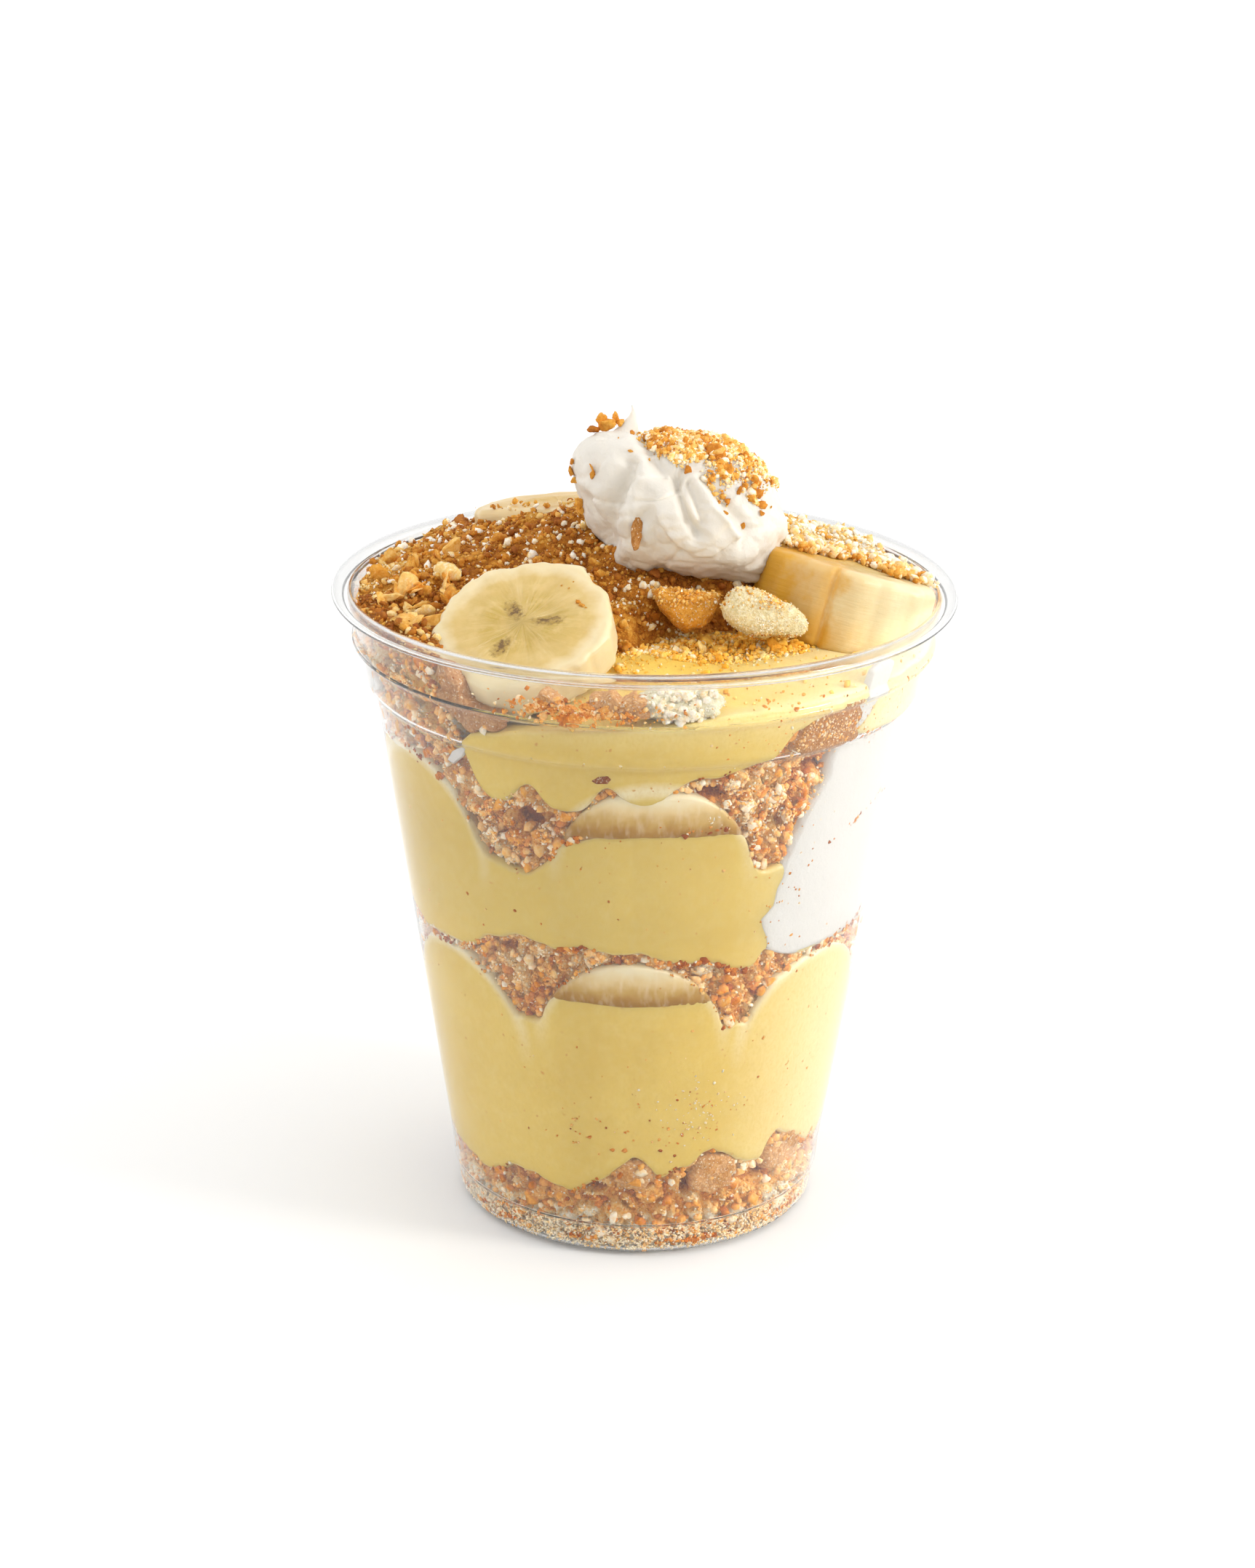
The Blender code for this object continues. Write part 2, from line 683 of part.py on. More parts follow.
def heap_top(angle, share):
    reach = share * heap_foot(angle)
    spot = point_at(angle, reach * food_radius(100.0), 0.0)
    height = heap_height(spot.x, spot.y)
    height += rough((spot.x, spot.y, 3.0), HEAP_WAVE, HEAP_RELIEF)
    return max(height, pudding_top(angle, reach) + 1.0)


def heap_core():
    """Heap without its larger crumbs, lying on the pudding a gap clear of it."""

    def upper(share):
        def place(angle):
            height = heap_top(angle, share)
            return point_at(angle, share * heap_foot(angle) * food_radius(height), height)
        return place

    def wall(rise):
        def place(angle):
            low = pudding_top(angle, heap_foot(angle)) + GAP / 2
            height = mix(low, heap_top(angle, 1.0), rise)
            return point_at(angle, heap_foot(angle) * food_radius(height), height)
        return place

    def lower(share):
        def place(angle):
            reach = share * heap_foot(angle)
            height = pudding_top(angle, reach) + GAP / 2
            return point_at(angle, reach * food_radius(height), height)
        return place

    places = [upper(0.0)] + [upper(share) for share in HEAP_RINGS]
    places += [wall(0.66), wall(0.33)]
    places += [lower(1.0), lower(0.0)]
    return add_object("crumb_heap", ringed_solid(SIDES, places, "SHORT_EDGE"), "crumb")


def pudding_layer_top():
    """Top custard, with rings under the heap where the heap has its own."""

    def upper(share, beyond):
        def place(angle):
            reach = share * heap_foot(angle)
            reach = mix(reach, 1.0, beyond)
            height = pudding_top(angle, reach) - GAP / 2
            return point_at(angle, reach * food_radius(height), height)
        return place

    def lower(share):
        def place(angle):
            height = upper_between(angle, share) + GAP / 2
            return point_at(angle, share * food_radius(height), height)
        return place

    places = [upper(0.0, 0.0), upper(1.0, 0.0), upper(1.0, 1.0)]
    places += [lower(share) for share in reversed(LAYER_RINGS)] + [lower(0.0)]
    return add_object("custard_top", ringed_solid(SIDES, places, "SHORT_EDGE"), "custard")


def base_layer():
    """Crumbs in the foot of the cup, down over the raised middle of its floor."""
    floor_top = RECESS_DEPTH + FLOOR + GAP
    channel = FLOOR + GAP

    def fixed(radius, height):
        def place(angle):
            return point_at(angle, radius, height)
        return place

    def upper(share):
        def place(angle):
            height = base_top(angle, share) - GAP / 2
            return point_at(angle, share * food_radius(height), height)
        return place

    places = [upper(0.0)] + [upper(share) for share in LAYER_RINGS]
    places += [fixed(food_radius(9.6), 9.4), fixed(food_radius(5.0), 4.6)]
    places += [fixed(food_radius(1.6), 1.6), fixed(FOOT_RADIUS - 1.4, channel)]
    places += [fixed(RECESS_RADIUS + 1.6, channel), fixed(RECESS_RADIUS - 1.0, floor_top)]
    places += [fixed(0.0, floor_top)]
    return add_object("crumb_base", ringed_solid(SIDES, places, "SHORT_EDGE"), "crumb")


def named(maker, names):
    """The maker, once for each name."""
    return [lambda group, grow, name=name: maker(name, group=group, grow=grow) for name in names]


def crumbs_on_heap():
    """Larger crumbs spread over the heap's surface, half sunk in it."""
    draw = random.Random(SEED)
    made = []
    while len(made) < HEAP_CRUMBS:
        angle = draw.uniform(-180.0, 180.0)
        share = math.sqrt(draw.uniform(0.02, 0.86))
        size = draw.uniform(*CRUMB_SIZE)
        height = heap_top(angle, share)
        radius = share * heap_foot(angle) * food_radius(height)
        if height - pudding_top(angle, share * heap_foot(angle)) < size + HEAP_MARGIN:
            continue
        if radius + size > food_radius(height) - HEAP_MARGIN:
            continue
        made.append(crumb(draw, point_at(angle, radius, height + 0.25 * size), size))
    return made


def crumbs_on_dollop(body):
    """Crumbs scattered on the upper right of the cream, and a few on its left."""
    draw = random.Random(SEED + 1)
    made = []
    centre = Vector(DOLLOP_CENTRE)
    while len(made) < DOLLOP_CRUMBS:
        heading = Vector((draw.uniform(-0.4, 1.1), draw.uniform(-0.9, 0.7), 1.0)).normalized()
        if len(made) < 4:
            heading = Vector((-1.0, draw.uniform(-0.7, 0.1), draw.uniform(0.1, 0.9))).normalized()
        hit, spot, _, _ = body.ray_cast((centre + heading * 60.0) * MM, -heading)
        size = draw.uniform(*FINE_CRUMB_SIZE)
        if not hit or spot.z / MM < heap_height(spot.x / MM, spot.y / MM) + size + 2.0:
            continue
        made.append(crumb(draw, spot / MM, size))
    return made


def main():
    reset_scene()
    make_cup()
    low_names = list(LOW_SLICES)
    up_names = list(UP_SLICES)
    base_wafers = [name for name in WALL_WAFERS if name.startswith("wafer_base")]
    for name in low_names:
        low_slice(name)
    for name in up_names:
        up_slice(name)
    for name in WALL_WAFERS:
        wall_wafer(name)
    for name in TOP_SLICES:
        top_slice(name)
    for name in TOP_WAFERS:
        top_wafer(name)
    cream_side()

    low_cuts = named(low_slice, low_names)
    up_cuts = named(up_slice, up_names)
    base_cuts = named(wall_wafer, base_wafers)

    base = base_layer()
    cut(base, base_cuts)

    lower = layer("custard_lower", "custard", base_top, middle_bottom)
    cut(lower, low_cuts + base_cuts)

    middle_crumbs = layer("crumb_middle", "crumb", middle_bottom, middle_top)
    cut(middle_crumbs, low_cuts + up_cuts + [cream_side])

    middle = layer("custard_middle", "custard", middle_top, upper_between)
    cut(middle, up_cuts + [cream_side, crumb_upper])

    upper_crumbs = crumb_upper()
    cut(upper_crumbs, up_cuts + [cream_side])

    top = pudding_layer_top()
    cut(top, up_cuts + [cream_side, crumb_upper] + named(wall_wafer, ["wafer_wall"])
        + named(top_slice, TOP_SLICES) + named(top_wafer, TOP_WAFERS))

    dollop = dollop_body()
    crumbs = crumbs_on_dollop(dollop)
    combine(dollop, crumbs + [dollop_peak()], "UNION")
    cut(dollop, named(top_slice, ["banana_chunk_right", "banana_chunk_back"])
        + named(top_wafer, ["wafer_brown", "wafer_pale"]))

    heap = heap_core()
    combine(heap, crumbs_on_heap(), "UNION")
    cut(heap, named(top_slice, TOP_SLICES) + named(top_wafer, TOP_WAFERS) + [dollop_body])

    for obj in (base, lower, middle_crumbs, middle, upper_crumbs, top, dollop, heap):
        tidy(obj)


main()
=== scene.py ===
"""Banana pudding in a clear plastic cup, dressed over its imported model.

Lengths are in millimetres and turned into metres where a mesh is made. An angle
round the cup is in degrees, 0 at the front (-y) and positive towards the right.
"""
import math

import bpy
import numpy as np
from mathutils import Matrix, Vector


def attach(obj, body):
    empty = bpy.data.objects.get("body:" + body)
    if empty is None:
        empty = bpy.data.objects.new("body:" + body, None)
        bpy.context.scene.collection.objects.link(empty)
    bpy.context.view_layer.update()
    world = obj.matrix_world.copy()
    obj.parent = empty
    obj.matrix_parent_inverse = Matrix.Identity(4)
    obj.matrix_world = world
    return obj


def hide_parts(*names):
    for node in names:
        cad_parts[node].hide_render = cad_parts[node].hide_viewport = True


MM = 0.001
ROOT = "root"
WALL = 0.5  # thickness of the plastic
COLUMNS = 480  # points in a ring round the cup
ANGLES = np.arange(COLUMNS) * 360.0 / COLUMNS - 180.0
NOISE_SHIFT = 31.7  # keeps the corners of the noise off the cup's axis
LUMP = 3.4  # size of the lumps in packed crumbs
LUMP_SEED = 21
# Sizes of loose crumbs, from the smallest to the largest of a kind
FINE = (0.14, 0.36)
COARSE = (0.4, 0.9)
LARGE = (0.9, 1.6)
# Directions of the camera. Pieces outlined as in the picture are built along them.
RIGHT = np.array((0.9998495, 0.00972689, 0.01436559))
UP = np.array((-0.01685391, 0.34821161, 0.93726443))
AHEAD = np.array((-0.0041144, 0.93736549, -0.34832314))

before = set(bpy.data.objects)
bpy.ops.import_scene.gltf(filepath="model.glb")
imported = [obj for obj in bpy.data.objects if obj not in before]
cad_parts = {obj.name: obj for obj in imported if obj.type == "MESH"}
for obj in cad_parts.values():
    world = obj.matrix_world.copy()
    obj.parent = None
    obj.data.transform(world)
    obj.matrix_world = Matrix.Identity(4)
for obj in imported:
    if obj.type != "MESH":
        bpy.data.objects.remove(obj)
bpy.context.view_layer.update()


# Numbers along a line
def smoothstep(low, high, value):
    share = np.clip((value - low) / (high - low), 0.0, 1.0)
    return share * share * (3.0 - 2.0 * share)


def mix(first, second, share):
    return first + (second - first) * share


def fold(angle):
    """The same angle between -180 and 180."""
    return (np.asarray(angle) + 180.0) % 360.0 - 180.0


def soft_line(points, spread=0.8):
    """Heights round the cup on a fine grid, with the bends between the points softened."""
    table = np.array(points, float)
    grid = np.arange(-180.0, 180.0, 0.25)
    value = np.interp(grid, table[:, 0], table[:, 1], period=360.0)
    reach = np.arange(-16, 17)
    weight = np.exp(-0.5 * (reach * 0.25 / spread) ** 2)
    value = np.convolve(np.concatenate([value[-16:], value, value[:16]]), weight / weight.sum(), "valid")
    return grid, value


def line(points, angle):
    """Height of a soft line at an angle."""
    grid, value = points
    return np.interp(fold(angle), grid, value, period=360.0)


def eased(points, value):
    """Value between points of a table, with an easy slope from one to the next."""
    table = np.array(points, float)
    value = np.clip(value, table[0, 0], table[-1, 0])
    at = np.clip(np.searchsorted(table[:, 0], value, side="right") - 1, 0, len(table) - 2)
    share = smoothstep(table[at, 0], table[at + 1, 0], value)
    return mix(table[at, 1], table[at + 1, 1], share)


def hashed(cell, seed):
    """A number from 0 to 1 for each cell of a grid, always the same for a seed."""
    total = cell @ np.array([127.1, 311.7, 74.7]) + seed * 19.19
    wave = np.sin(total) * 43758.5453
    return wave - np.floor(wave)


def noise(spots, size, seed):
    """Smooth noise from -1 to 1 with bumps of the given size."""
    spots = np.asarray(spots, float) / size + NOISE_SHIFT
    cell = np.floor(spots)
    part = spots - cell
    part = part * part * (3.0 - 2.0 * part)
    total = 0.0
    for corner in range(8):
        step = np.array([corner & 1, corner >> 1 & 1, corner >> 2 & 1], float)
        weight = np.prod(np.where(step > 0, part, 1.0 - part), axis=-1)
        total = total + weight * hashed(cell + step, seed)
    return 2.0 * total - 1.0


def lumps(spots):
    """Tone of the lump that each spot lies in, from 0 to 1, and how far it is from the lump's edge."""
    spots = np.asarray(spots, float) / LUMP + NOISE_SHIFT
    cell = np.floor(spots)
    near = np.full(spots.shape[:-1], 9.0)
    second = near.copy()
    tone = np.zeros(spots.shape[:-1])
    for corner in range(27):
        here = cell + np.array([corner % 3 - 1, corner // 3 % 3 - 1, corner // 9 - 1], float)
        middle = here + np.stack([hashed(here, LUMP_SEED + way) for way in range(3)], -1)
        far = np.linalg.norm(spots - middle, axis=-1)
        second = np.where(far < near, near, np.minimum(second, far))
        tone = np.where(far < near, hashed(here, LUMP_SEED + 3), tone)
        near = np.minimum(near, far)
    return tone, second - near


def point_at(angle, radius, height):
    """Spots from the angle round the cup, the distance from its axis and the height."""
    turn = np.radians(angle)
    return np.stack(np.broadcast_arrays(radius * np.sin(turn), -radius * np.cos(turn), height), -1)


def round_noise(angle, radius, height, size, seed):
    return noise(point_at(angle, radius, height), size, seed)


def unit(ways):
    return ways / np.linalg.norm(ways, axis=-1, keepdims=True)


def turns(columns):
    """Angles of a full turn in even steps, in radians."""
    return np.arange(columns) * math.tau / columns


def disc_frame(axis):
    """Right, back and up of a slice that lies square to an axis."""
    up = unit(np.array(axis, float))
    back = unit(np.cross(up, (1.0, 0.0, 0.0)))
    return np.cross(back, up), back, up


# Cup profile, outer side, from the foot up
OUTER = np.array([
    (28.4, 0.0), (29.2, 1.0), (29.7, 5.3), (30.1, 5.6), (30.4, 9.6), (42.4, 87.3), (43.6, 88.1),
    (44.5, 94.0), (45.9, 94.9), (45.2, 95.9), (45.8, 100.8),
])


def inner(height):
    """Radius of the cup's inner side."""
    return np.interp(height, OUTER[:, 1], OUTER[:, 0]) - WALL


def beside_wall(spots):
    """The angle of each spot, and the spot of the wall at its side."""
    angle = np.degrees(np.arctan2(spots[:, 0], -spots[:, 1]))
    return angle, point_at(angle, inner(spots[:, 2]), spots[:, 2])


# Meshes
def make_object(name, verts, faces, mat, nodes, smooth=True, tone=None):
    """Object of the scene from millimetre arrays. It rides on the body and replaces its nodes."""
    faces = [np.asarray(part, np.int32) for part in (faces if isinstance(faces, list) else [faces])]
    corners = np.concatenate([part.ravel() for part in faces])
    counts = np.concatenate([np.full(len(part), part.shape[1], np.int32) for part in faces])
    mesh = bpy.data.meshes.new(name)
    mesh.vertices.add(len(verts))
    mesh.vertices.foreach_set("co", (np.asarray(verts, float) * MM).astype(np.float32).ravel())
    mesh.loops.add(len(corners))
    mesh.loops.foreach_set("vertex_index", corners)
    mesh.polygons.add(len(counts))
    mesh.polygons.foreach_set("loop_start", np.concatenate([[0], np.cumsum(counts)[:-1]]).astype(np.int32))
    mesh.polygons.foreach_set("loop_total", counts)
    mesh.update(calc_edges=True)
    if smooth:
        mesh.shade_smooth()
    if tone is not None:
        layer = mesh.attributes.new("tone", "FLOAT", "POINT")
        layer.data.foreach_set("value", np.asarray(tone, np.float32))
    mesh.materials.append(mat)
    obj = bpy.data.objects.new(name, mesh)
    bpy.context.scene.collection.objects.link(obj)
    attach(obj, ROOT)
    if nodes:
        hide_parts(*nodes)


def ring_faces(rings, columns):
    """Quads between rings that run from the top down, each counterclockwise from above."""
    row = np.arange(rings - 1)[:, None] * columns
    here = np.arange(columns)[None, :]
    after = (here + 1) % columns
    quads = np.stack([row + here, row + columns + here, row + columns + after, row + after], -1)
    return quads.reshape(-1, 4)


def closed_rings(rings, top=None, bottom=None):
    """Verts and faces of a closed solid from its rings. A top or bottom point not given is its ring's middle."""
    rings = np.array(rings)
    top = rings[0].mean(0) if top is None else top
    bottom = rings[-1].mean(0) if bottom is None else bottom
    count, columns = rings.shape[:2]
    verts = np.concatenate([rings.reshape(-1, 3), [top], [bottom]])
    here = np.arange(columns)
    after = (here + 1) % columns
    last = (count - 1) * columns
    up = count * columns
    fan = np.stack([np.full(columns, up), here, after], -1)
    under = np.stack([np.full(columns, up + 1), last + after, last + here], -1)
    return verts, [ring_faces(count, columns), fan, under]


def icosphere(level):
    """Verts and faces of a ball, finer with each level from 1 up."""
    verts, faces = [], []
    golden = (1 + 5 ** 0.5) / 2
    for one in (-1, 1):
        for two in (-golden, golden):
            verts += [(0, one, two), (one, two, 0), (two, 0, one)]
    verts = np.array(verts, float)
    verts /= np.linalg.norm(verts[0])
    near = np.linalg.norm(verts[:, None] - verts[None], axis=-1)
    edge = near[near > 0.1].min() * 1.01
    for a in range(12):
        for b in range(a + 1, 12):
            for c in range(b + 1, 12):
                if near[a, b] < edge and near[b, c] < edge and near[a, c] < edge:
                    normal = np.cross(verts[b] - verts[a], verts[c] - verts[a])
                    faces.append((a, b, c) if normal @ verts[a] > 0 else (a, c, b))
    faces = np.array(faces)
    for _ in range(level - 1):
        verts_list = list(map(tuple, verts))
        middle = {}
        fresh = []

        def halfway(a, b):
            key = (min(a, b), max(a, b))
            if key not in middle:
                spot = (np.array(verts_list[a]) + np.array(verts_list[b])) / 2
                middle[key] = len(verts_list)
                verts_list.append(tuple(spot / np.linalg.norm(spot)))
            return middle[key]

        for a, b, c in faces:
            ab, bc, ca = halfway(a, b), halfway(b, c), halfway(c, a)
            fresh += [(a, ab, ca), (b, bc, ab), (c, ca, bc), (ab, bc, ca)]
        verts, faces = np.array(verts_list), np.array(fresh)
    return verts, faces


BALLS = {level: icosphere(level) for level in (1, 2, 3)}
BALLS[0] = (
    np.array([(1, 0, 0), (0, 1, 0), (-1, 0, 0), (0, -1, 0), (0, 0, 1), (0, 0, -1)], float),
    np.array([(0, 1, 4), (1, 2, 4), (2, 3, 4), (3, 0, 4), (1, 0, 5), (2, 1, 5), (3, 2, 5), (0, 3, 5)]),
)


def press_to_wall(verts, press):
    """Flatten what would stick out through the wall."""
    radius = np.hypot(verts[:, 0], verts[:, 1])
    limit = inner(verts[:, 2]) + press
    verts[:, :2] *= np.where(radius > limit, limit / np.maximum(radius, 1e-6), 1.0)[:, None]


def grains(draw, centres, sizes, level=1, rough=0.36, flat=1.0, press=None):
    """Verts, faces, verts a grain and centres of many uneven crumbs in one mesh."""
    base, faces = BALLS[level]
    centres = np.asarray(centres, float)
    count = len(centres)
    w, x, y, z = unit(draw.normal(size=(count, 4))).T
    spin = np.stack([
        1 - 2 * (y * y + z * z), 2 * (x * y - w * z), 2 * (x * z + w * y),
        2 * (x * y + w * z), 1 - 2 * (x * x + z * z), 2 * (y * z - w * x),
        2 * (x * z - w * y), 2 * (y * z + w * x), 1 - 2 * (x * x + y * y),
    ], -1).reshape(count, 3, 3)
    verts = np.repeat(base[None], count, 0)
    if level > 1:
        # flat facets, as of broken bits
        for _ in range(9):
            way = unit(draw.normal(size=(count, 1, 3)))
            over = (verts * way).sum(-1, keepdims=True) - draw.uniform(0.3, 0.75, (count, 1, 1))
            verts = verts - np.maximum(over, 0.0) * way
        rough = rough * (0.55 if level == 2 else 0.35)
    stretch = draw.uniform(0.58, 1.35, (count, 1, 3))
    stretch[:, :, 2] *= flat
    dents = draw.uniform(1.0 - rough, 1.0 + 0.7 * rough, (count, len(base), 1))
    verts = verts * stretch * dents * np.asarray(sizes)[:, None, None]
    verts = (np.einsum("nij,nvj->nvi", spin, verts) + centres[:, None, :]).reshape(-1, 3)
    if press is not None:
        press_to_wall(verts, press)
    all_faces = faces[None] + (np.arange(count) * len(base))[:, None, None]
    return verts, all_faces.reshape(-1, 3), len(base), centres


def crumb_sizes(draw, count, sizes, power=2):
    """Sizes between two limits, more of them small than large."""
    return draw.uniform(0, 1, count) ** power * (sizes[1] - sizes[0]) + sizes[0]


def crumb_piece(name, mat, nodes, groups):
    """One piece from grain groups, each (verts, faces, verts a grain, tone of each grain)."""
    verts, faces, tone, first = [], [], [], 0
    for part, sides, each, shade in groups:
        verts.append(part)
        faces.append(sides + first)
        tone.append(np.repeat(shade, each))
        first += len(part)
    make_object(name, np.concatenate(verts), np.concatenate(faces), mat, nodes, smooth=False,
                tone=np.concatenate(tone))


# Materials
class Value:
    """What a node of a paint gives out. Sums with it become math nodes."""

    def __init__(self, paint, socket):
        self.paint = paint
        self.socket = socket

    def math(self, kind, second=0.0, third=0.0, clamp=False):
        node = self.paint.tree.nodes.new("ShaderNodeMath")
        node.operation = kind
        node.use_clamp = clamp
        for socket, value in zip(node.inputs, (self, second, third)):
            self.paint.put(socket, value)
        return Value(self.paint, node.outputs[0])

    def __add__(self, other):
        return self.math("ADD", other)

    def __sub__(self, other):
        return self.math("SUBTRACT", other)

    def __mul__(self, other):
        return self.math("MULTIPLY", other)

    def __truediv__(self, other):
        return self.math("DIVIDE", other)

    def __pow__(self, other):
        return self.math("POWER", other)

    def __abs__(self):
        return self.math("ABSOLUTE")

    def scaled(self, gain, shift):
        return self.math("MULTIPLY_ADD", gain, shift)

    def hypot(self, other):
        return (self * self + other * other).math("SQRT")


class Paint:
    """A material whose nodes are added by short calls. Its colour is built up from coat to coat."""

    def __init__(self, name, roughness, plain=(0.8, 0.8, 0.8)):
        self.mat = bpy.data.materials.new(name)
        self.mat.use_nodes = True
        self.tree = self.mat.node_tree
        self.shader = self.tree.nodes["Principled BSDF"]
        self.shader.inputs["Base Color"].default_value = (*plain, 1.0)
        self.shader.inputs["Roughness"].default_value = roughness
        self.place = self.add("TexCoord").outputs["Object"]
        self.colour = None

    def add(self, kind, **values):
        node = self.tree.nodes.new("ShaderNode" + kind)
        for key, value in values.items():
            self.put(node.inputs[key.replace("_", " ")], value)
        return node

    def put(self, socket, value):
        if isinstance(value, Value):
            value = value.socket
        if isinstance(value, bpy.types.NodeSocket):
            self.tree.links.new(value, socket)
        else:
            socket.default_value = value

    def set(self, **values):
        for key, value in values.items():
            self.put(self.shader.inputs[key.replace("_", " ")], value)

    def texture(self, spot, scale, detail, rough, distortion=0.0):
        node = self.add("TexNoise", Vector=spot, Scale=scale, Detail=detail, Roughness=rough, Distortion=distortion)
        return Value(self, node.outputs["Fac"])

    def noise(self, size, detail, rough=0.5, stretch=None):
        """Noise with bumps of a size in millimetres, from 0 to 1."""
        spot = self.place
        if stretch:
            spot = self.add("Mapping", Vector=spot, Scale=stretch).outputs[0]
        return self.texture(spot, 1.0 / (size * MM), detail, rough)

    def ramp(self, value, stops, ease="LINEAR"):
        node = self.tree.nodes.new("ShaderNodeValToRGB")
        node.color_ramp.interpolation = ease
        marks = node.color_ramp.elements
        for at, (spot, colour) in enumerate(stops):
            mark = marks[at] if at < len(marks) else marks.new(spot)
            mark.position = spot
            if isinstance(colour, (int, float)):
                colour = (colour, colour, colour)
            mark.color = (*colour, 1.0)
        self.put(node.inputs[0], value)
        return Value(self, node.outputs[0])

    def blend(self, share, first, second, kind="MIX"):
        node = self.tree.nodes.new("ShaderNodeMix")
        node.data_type = "RGBA"
        node.blend_type = kind
        for socket, value in zip((node.inputs[0], node.inputs[6], node.inputs[7]), (share, first, second)):
            if isinstance(value, tuple):
                value = (*value, 1.0)
            self.put(socket, value)
        return Value(self, node.outputs[2])

    def coat(self, tint, mask, stops=None, kind="MIX"):
        """Lay a tint over the colour as far as the mask says, or a ramp of it."""
        if stops:
            mask = self.ramp(mask, stops)
        self.colour = self.blend(mask, self.colour, tint, kind)

    def attribute(self, name):
        node = self.tree.nodes.new("ShaderNodeAttribute")
        node.attribute_name = name
        return Value(self, node.outputs["Fac"])

    def parts(self, spot=None):
        node = self.add("SeparateXYZ", Vector=spot or self.place)
        return [Value(self, socket) for socket in node.outputs]

    def finish(self, *bumps, sunk=None, **settings):
        """The material with its colour, its settings, its bumps and light that sinks in.

        A bump is (height, strength, distance in millimetres), and the next one lies over it.
        Sunk is the weight of such light and its reach in millimetres for red, green and blue.
        """
        self.set(Base_Color=self.colour, **settings)
        if sunk:
            self.shader.subsurface_method = "BURLEY"
            self.set(Subsurface_Weight=sunk[0], Subsurface_Radius=sunk[1], Subsurface_Scale=MM)
        below = None
        for height, strength, distance in bumps:
            node = self.add("Bump", Height=height, Strength=strength, Distance=distance * MM)
            if below is not None:
                self.put(node.inputs["Normal"], below)
            below = node.outputs[0]
        self.put(self.shader.inputs["Normal"], below)
        return self.mat


def custard_paint(edges):
    """Smooth custard, paler along the edges of the slices behind it."""
    paint = Paint("custard_soft", 0.3)
    fine = paint.noise(1.8, 3.0)
    patches = paint.noise(16.0, 3.0)
    paint.colour = paint.ramp(patches, [(0.32, (0.735, 0.520, 0.112)), (0.68, (0.790, 0.580, 0.145))])
    paint.coat((0.81, 0.64, 0.23), fine, [(0.45, 0.0), (0.8, 0.4)])
    x, y, z = paint.parts()
    turn = x.math("ARCTAN2", y * -1.0)
    for middle, centre, radius, low, high in edges:
        across = (turn - math.radians(fold(middle))) * (inner(centre) * MM)
        off = abs(across.hypot(z - centre * MM) - radius * MM)
        near = paint.ramp(off / (1.7 * MM), [(0.0, 1.0), (0.35, 0.75), (1.0, 0.0)])
        tall = paint.ramp((z - low * MM) / ((high - low) * MM), [(0.0, 0.0), (1.0, 1.0)])
        paint.coat((0.92, 0.83, 0.60), near * tall * 0.75)
    half_turn, level = turn / math.pi, z / 0.1
    # a paler patch under the rim at the right, then painted light at the top: paler towards the top, and an orange
    # glow on the top face, standing in for light from above and through the wall
    film = paint.ramp(half_turn, [(0.26, 0.0), (0.32, 0.85), (0.55, 0.85), (0.60, 0.0)])
    paint.coat((0.93, 0.84, 0.60), film * paint.ramp(level, [(0.80, 0.0), (0.88, 1.0)]))
    high = paint.ramp(level, [(0.90, 0.0), (0.972, 0.9)])
    paint.coat((0.92, 0.76, 0.34), high)
    paint.coat((0.97, 0.64, 0.12), high * paint.ramp(x.hypot(y) / 0.05, [(0.80, 1.0), (0.87, 0.0)]))
    # painted reflection: the custard paler towards the right, standing in for the bright light at the right
    # reflected by the plastic
    paint.coat((0.92, 0.82, 0.52), half_turn, [(0.12, 0.0), (0.30, 0.6), (0.5, 0.6), (0.6, 0.0)])
    # painted shade: the custard's middle band, from about 52 to 80 mm up, a little darker
    paint.coat((0.90, 0.905, 0.92), level, [(0.52, 0.0), (0.58, 1.0), (0.72, 1.0), (0.80, 0.3)], "MULTIPLY")
    paint.coat((0.66, 0.45, 0.075), paint.noise(0.4, 3.0, 0.7, (1.0, 1.0, 0.6)), [(0.45, 0.0), (0.75, 0.4)])
    paint.coat((0.62, 0.30, 0.06), paint.noise(1.0, 1.0), [(0.755, 0.0), (0.79, 0.8)])
    return paint.finish((fine, 0.2, 0.3), sunk=(0.5, (3.0, 2.0, 0.8)), Specular_IOR_Level=0.45)


def cream_paint(name, tint, bright):
    paint = Paint(name, 0.42)
    paint.colour = paint.blend(paint.noise(7.0, 3.0), tint, bright)
    return paint.finish((paint.noise(1.4, 4.0, 0.6), 0.5, 0.4), (paint.noise(0.45, 2.0), 0.4, 0.1),
                        sunk=(0.5, (2.0, 1.8, 1.5)), Specular_IOR_Level=0.35)


def crumb_paint(name, stops):
    """Crumbs, each with its own tone from a ramp."""
    paint = Paint(name, 0.75)
    wobble = paint.noise(0.7, 3.0, 0.65).scaled(0.7, -0.35)
    paint.colour = paint.ramp(paint.attribute("tone").math("ADD", wobble, clamp=True), stops)
    return paint.finish((paint.noise(0.3, 3.0, 0.7), 0.6, 0.2), sunk=(0.4, (1.3, 0.8, 0.35)),
                        Specular_IOR_Level=0.3)


def core_paint(name, stops):
    """Packed fine crumbs under the loose ones, painted darker in the hollows of their bumps as shade."""
    paint = Paint(name, 0.85)
    grit = paint.noise(0.8, 4.0, 0.75)
    paint.colour = paint.ramp(paint.attribute("tone").math("ADD", grit.scaled(1.3, -0.65), clamp=True), stops)
    return paint.finish((grit, 0.8, 0.7), (paint.noise(0.3, 2.0, 0.6), 0.7, 0.2), Specular_IOR_Level=0.25)
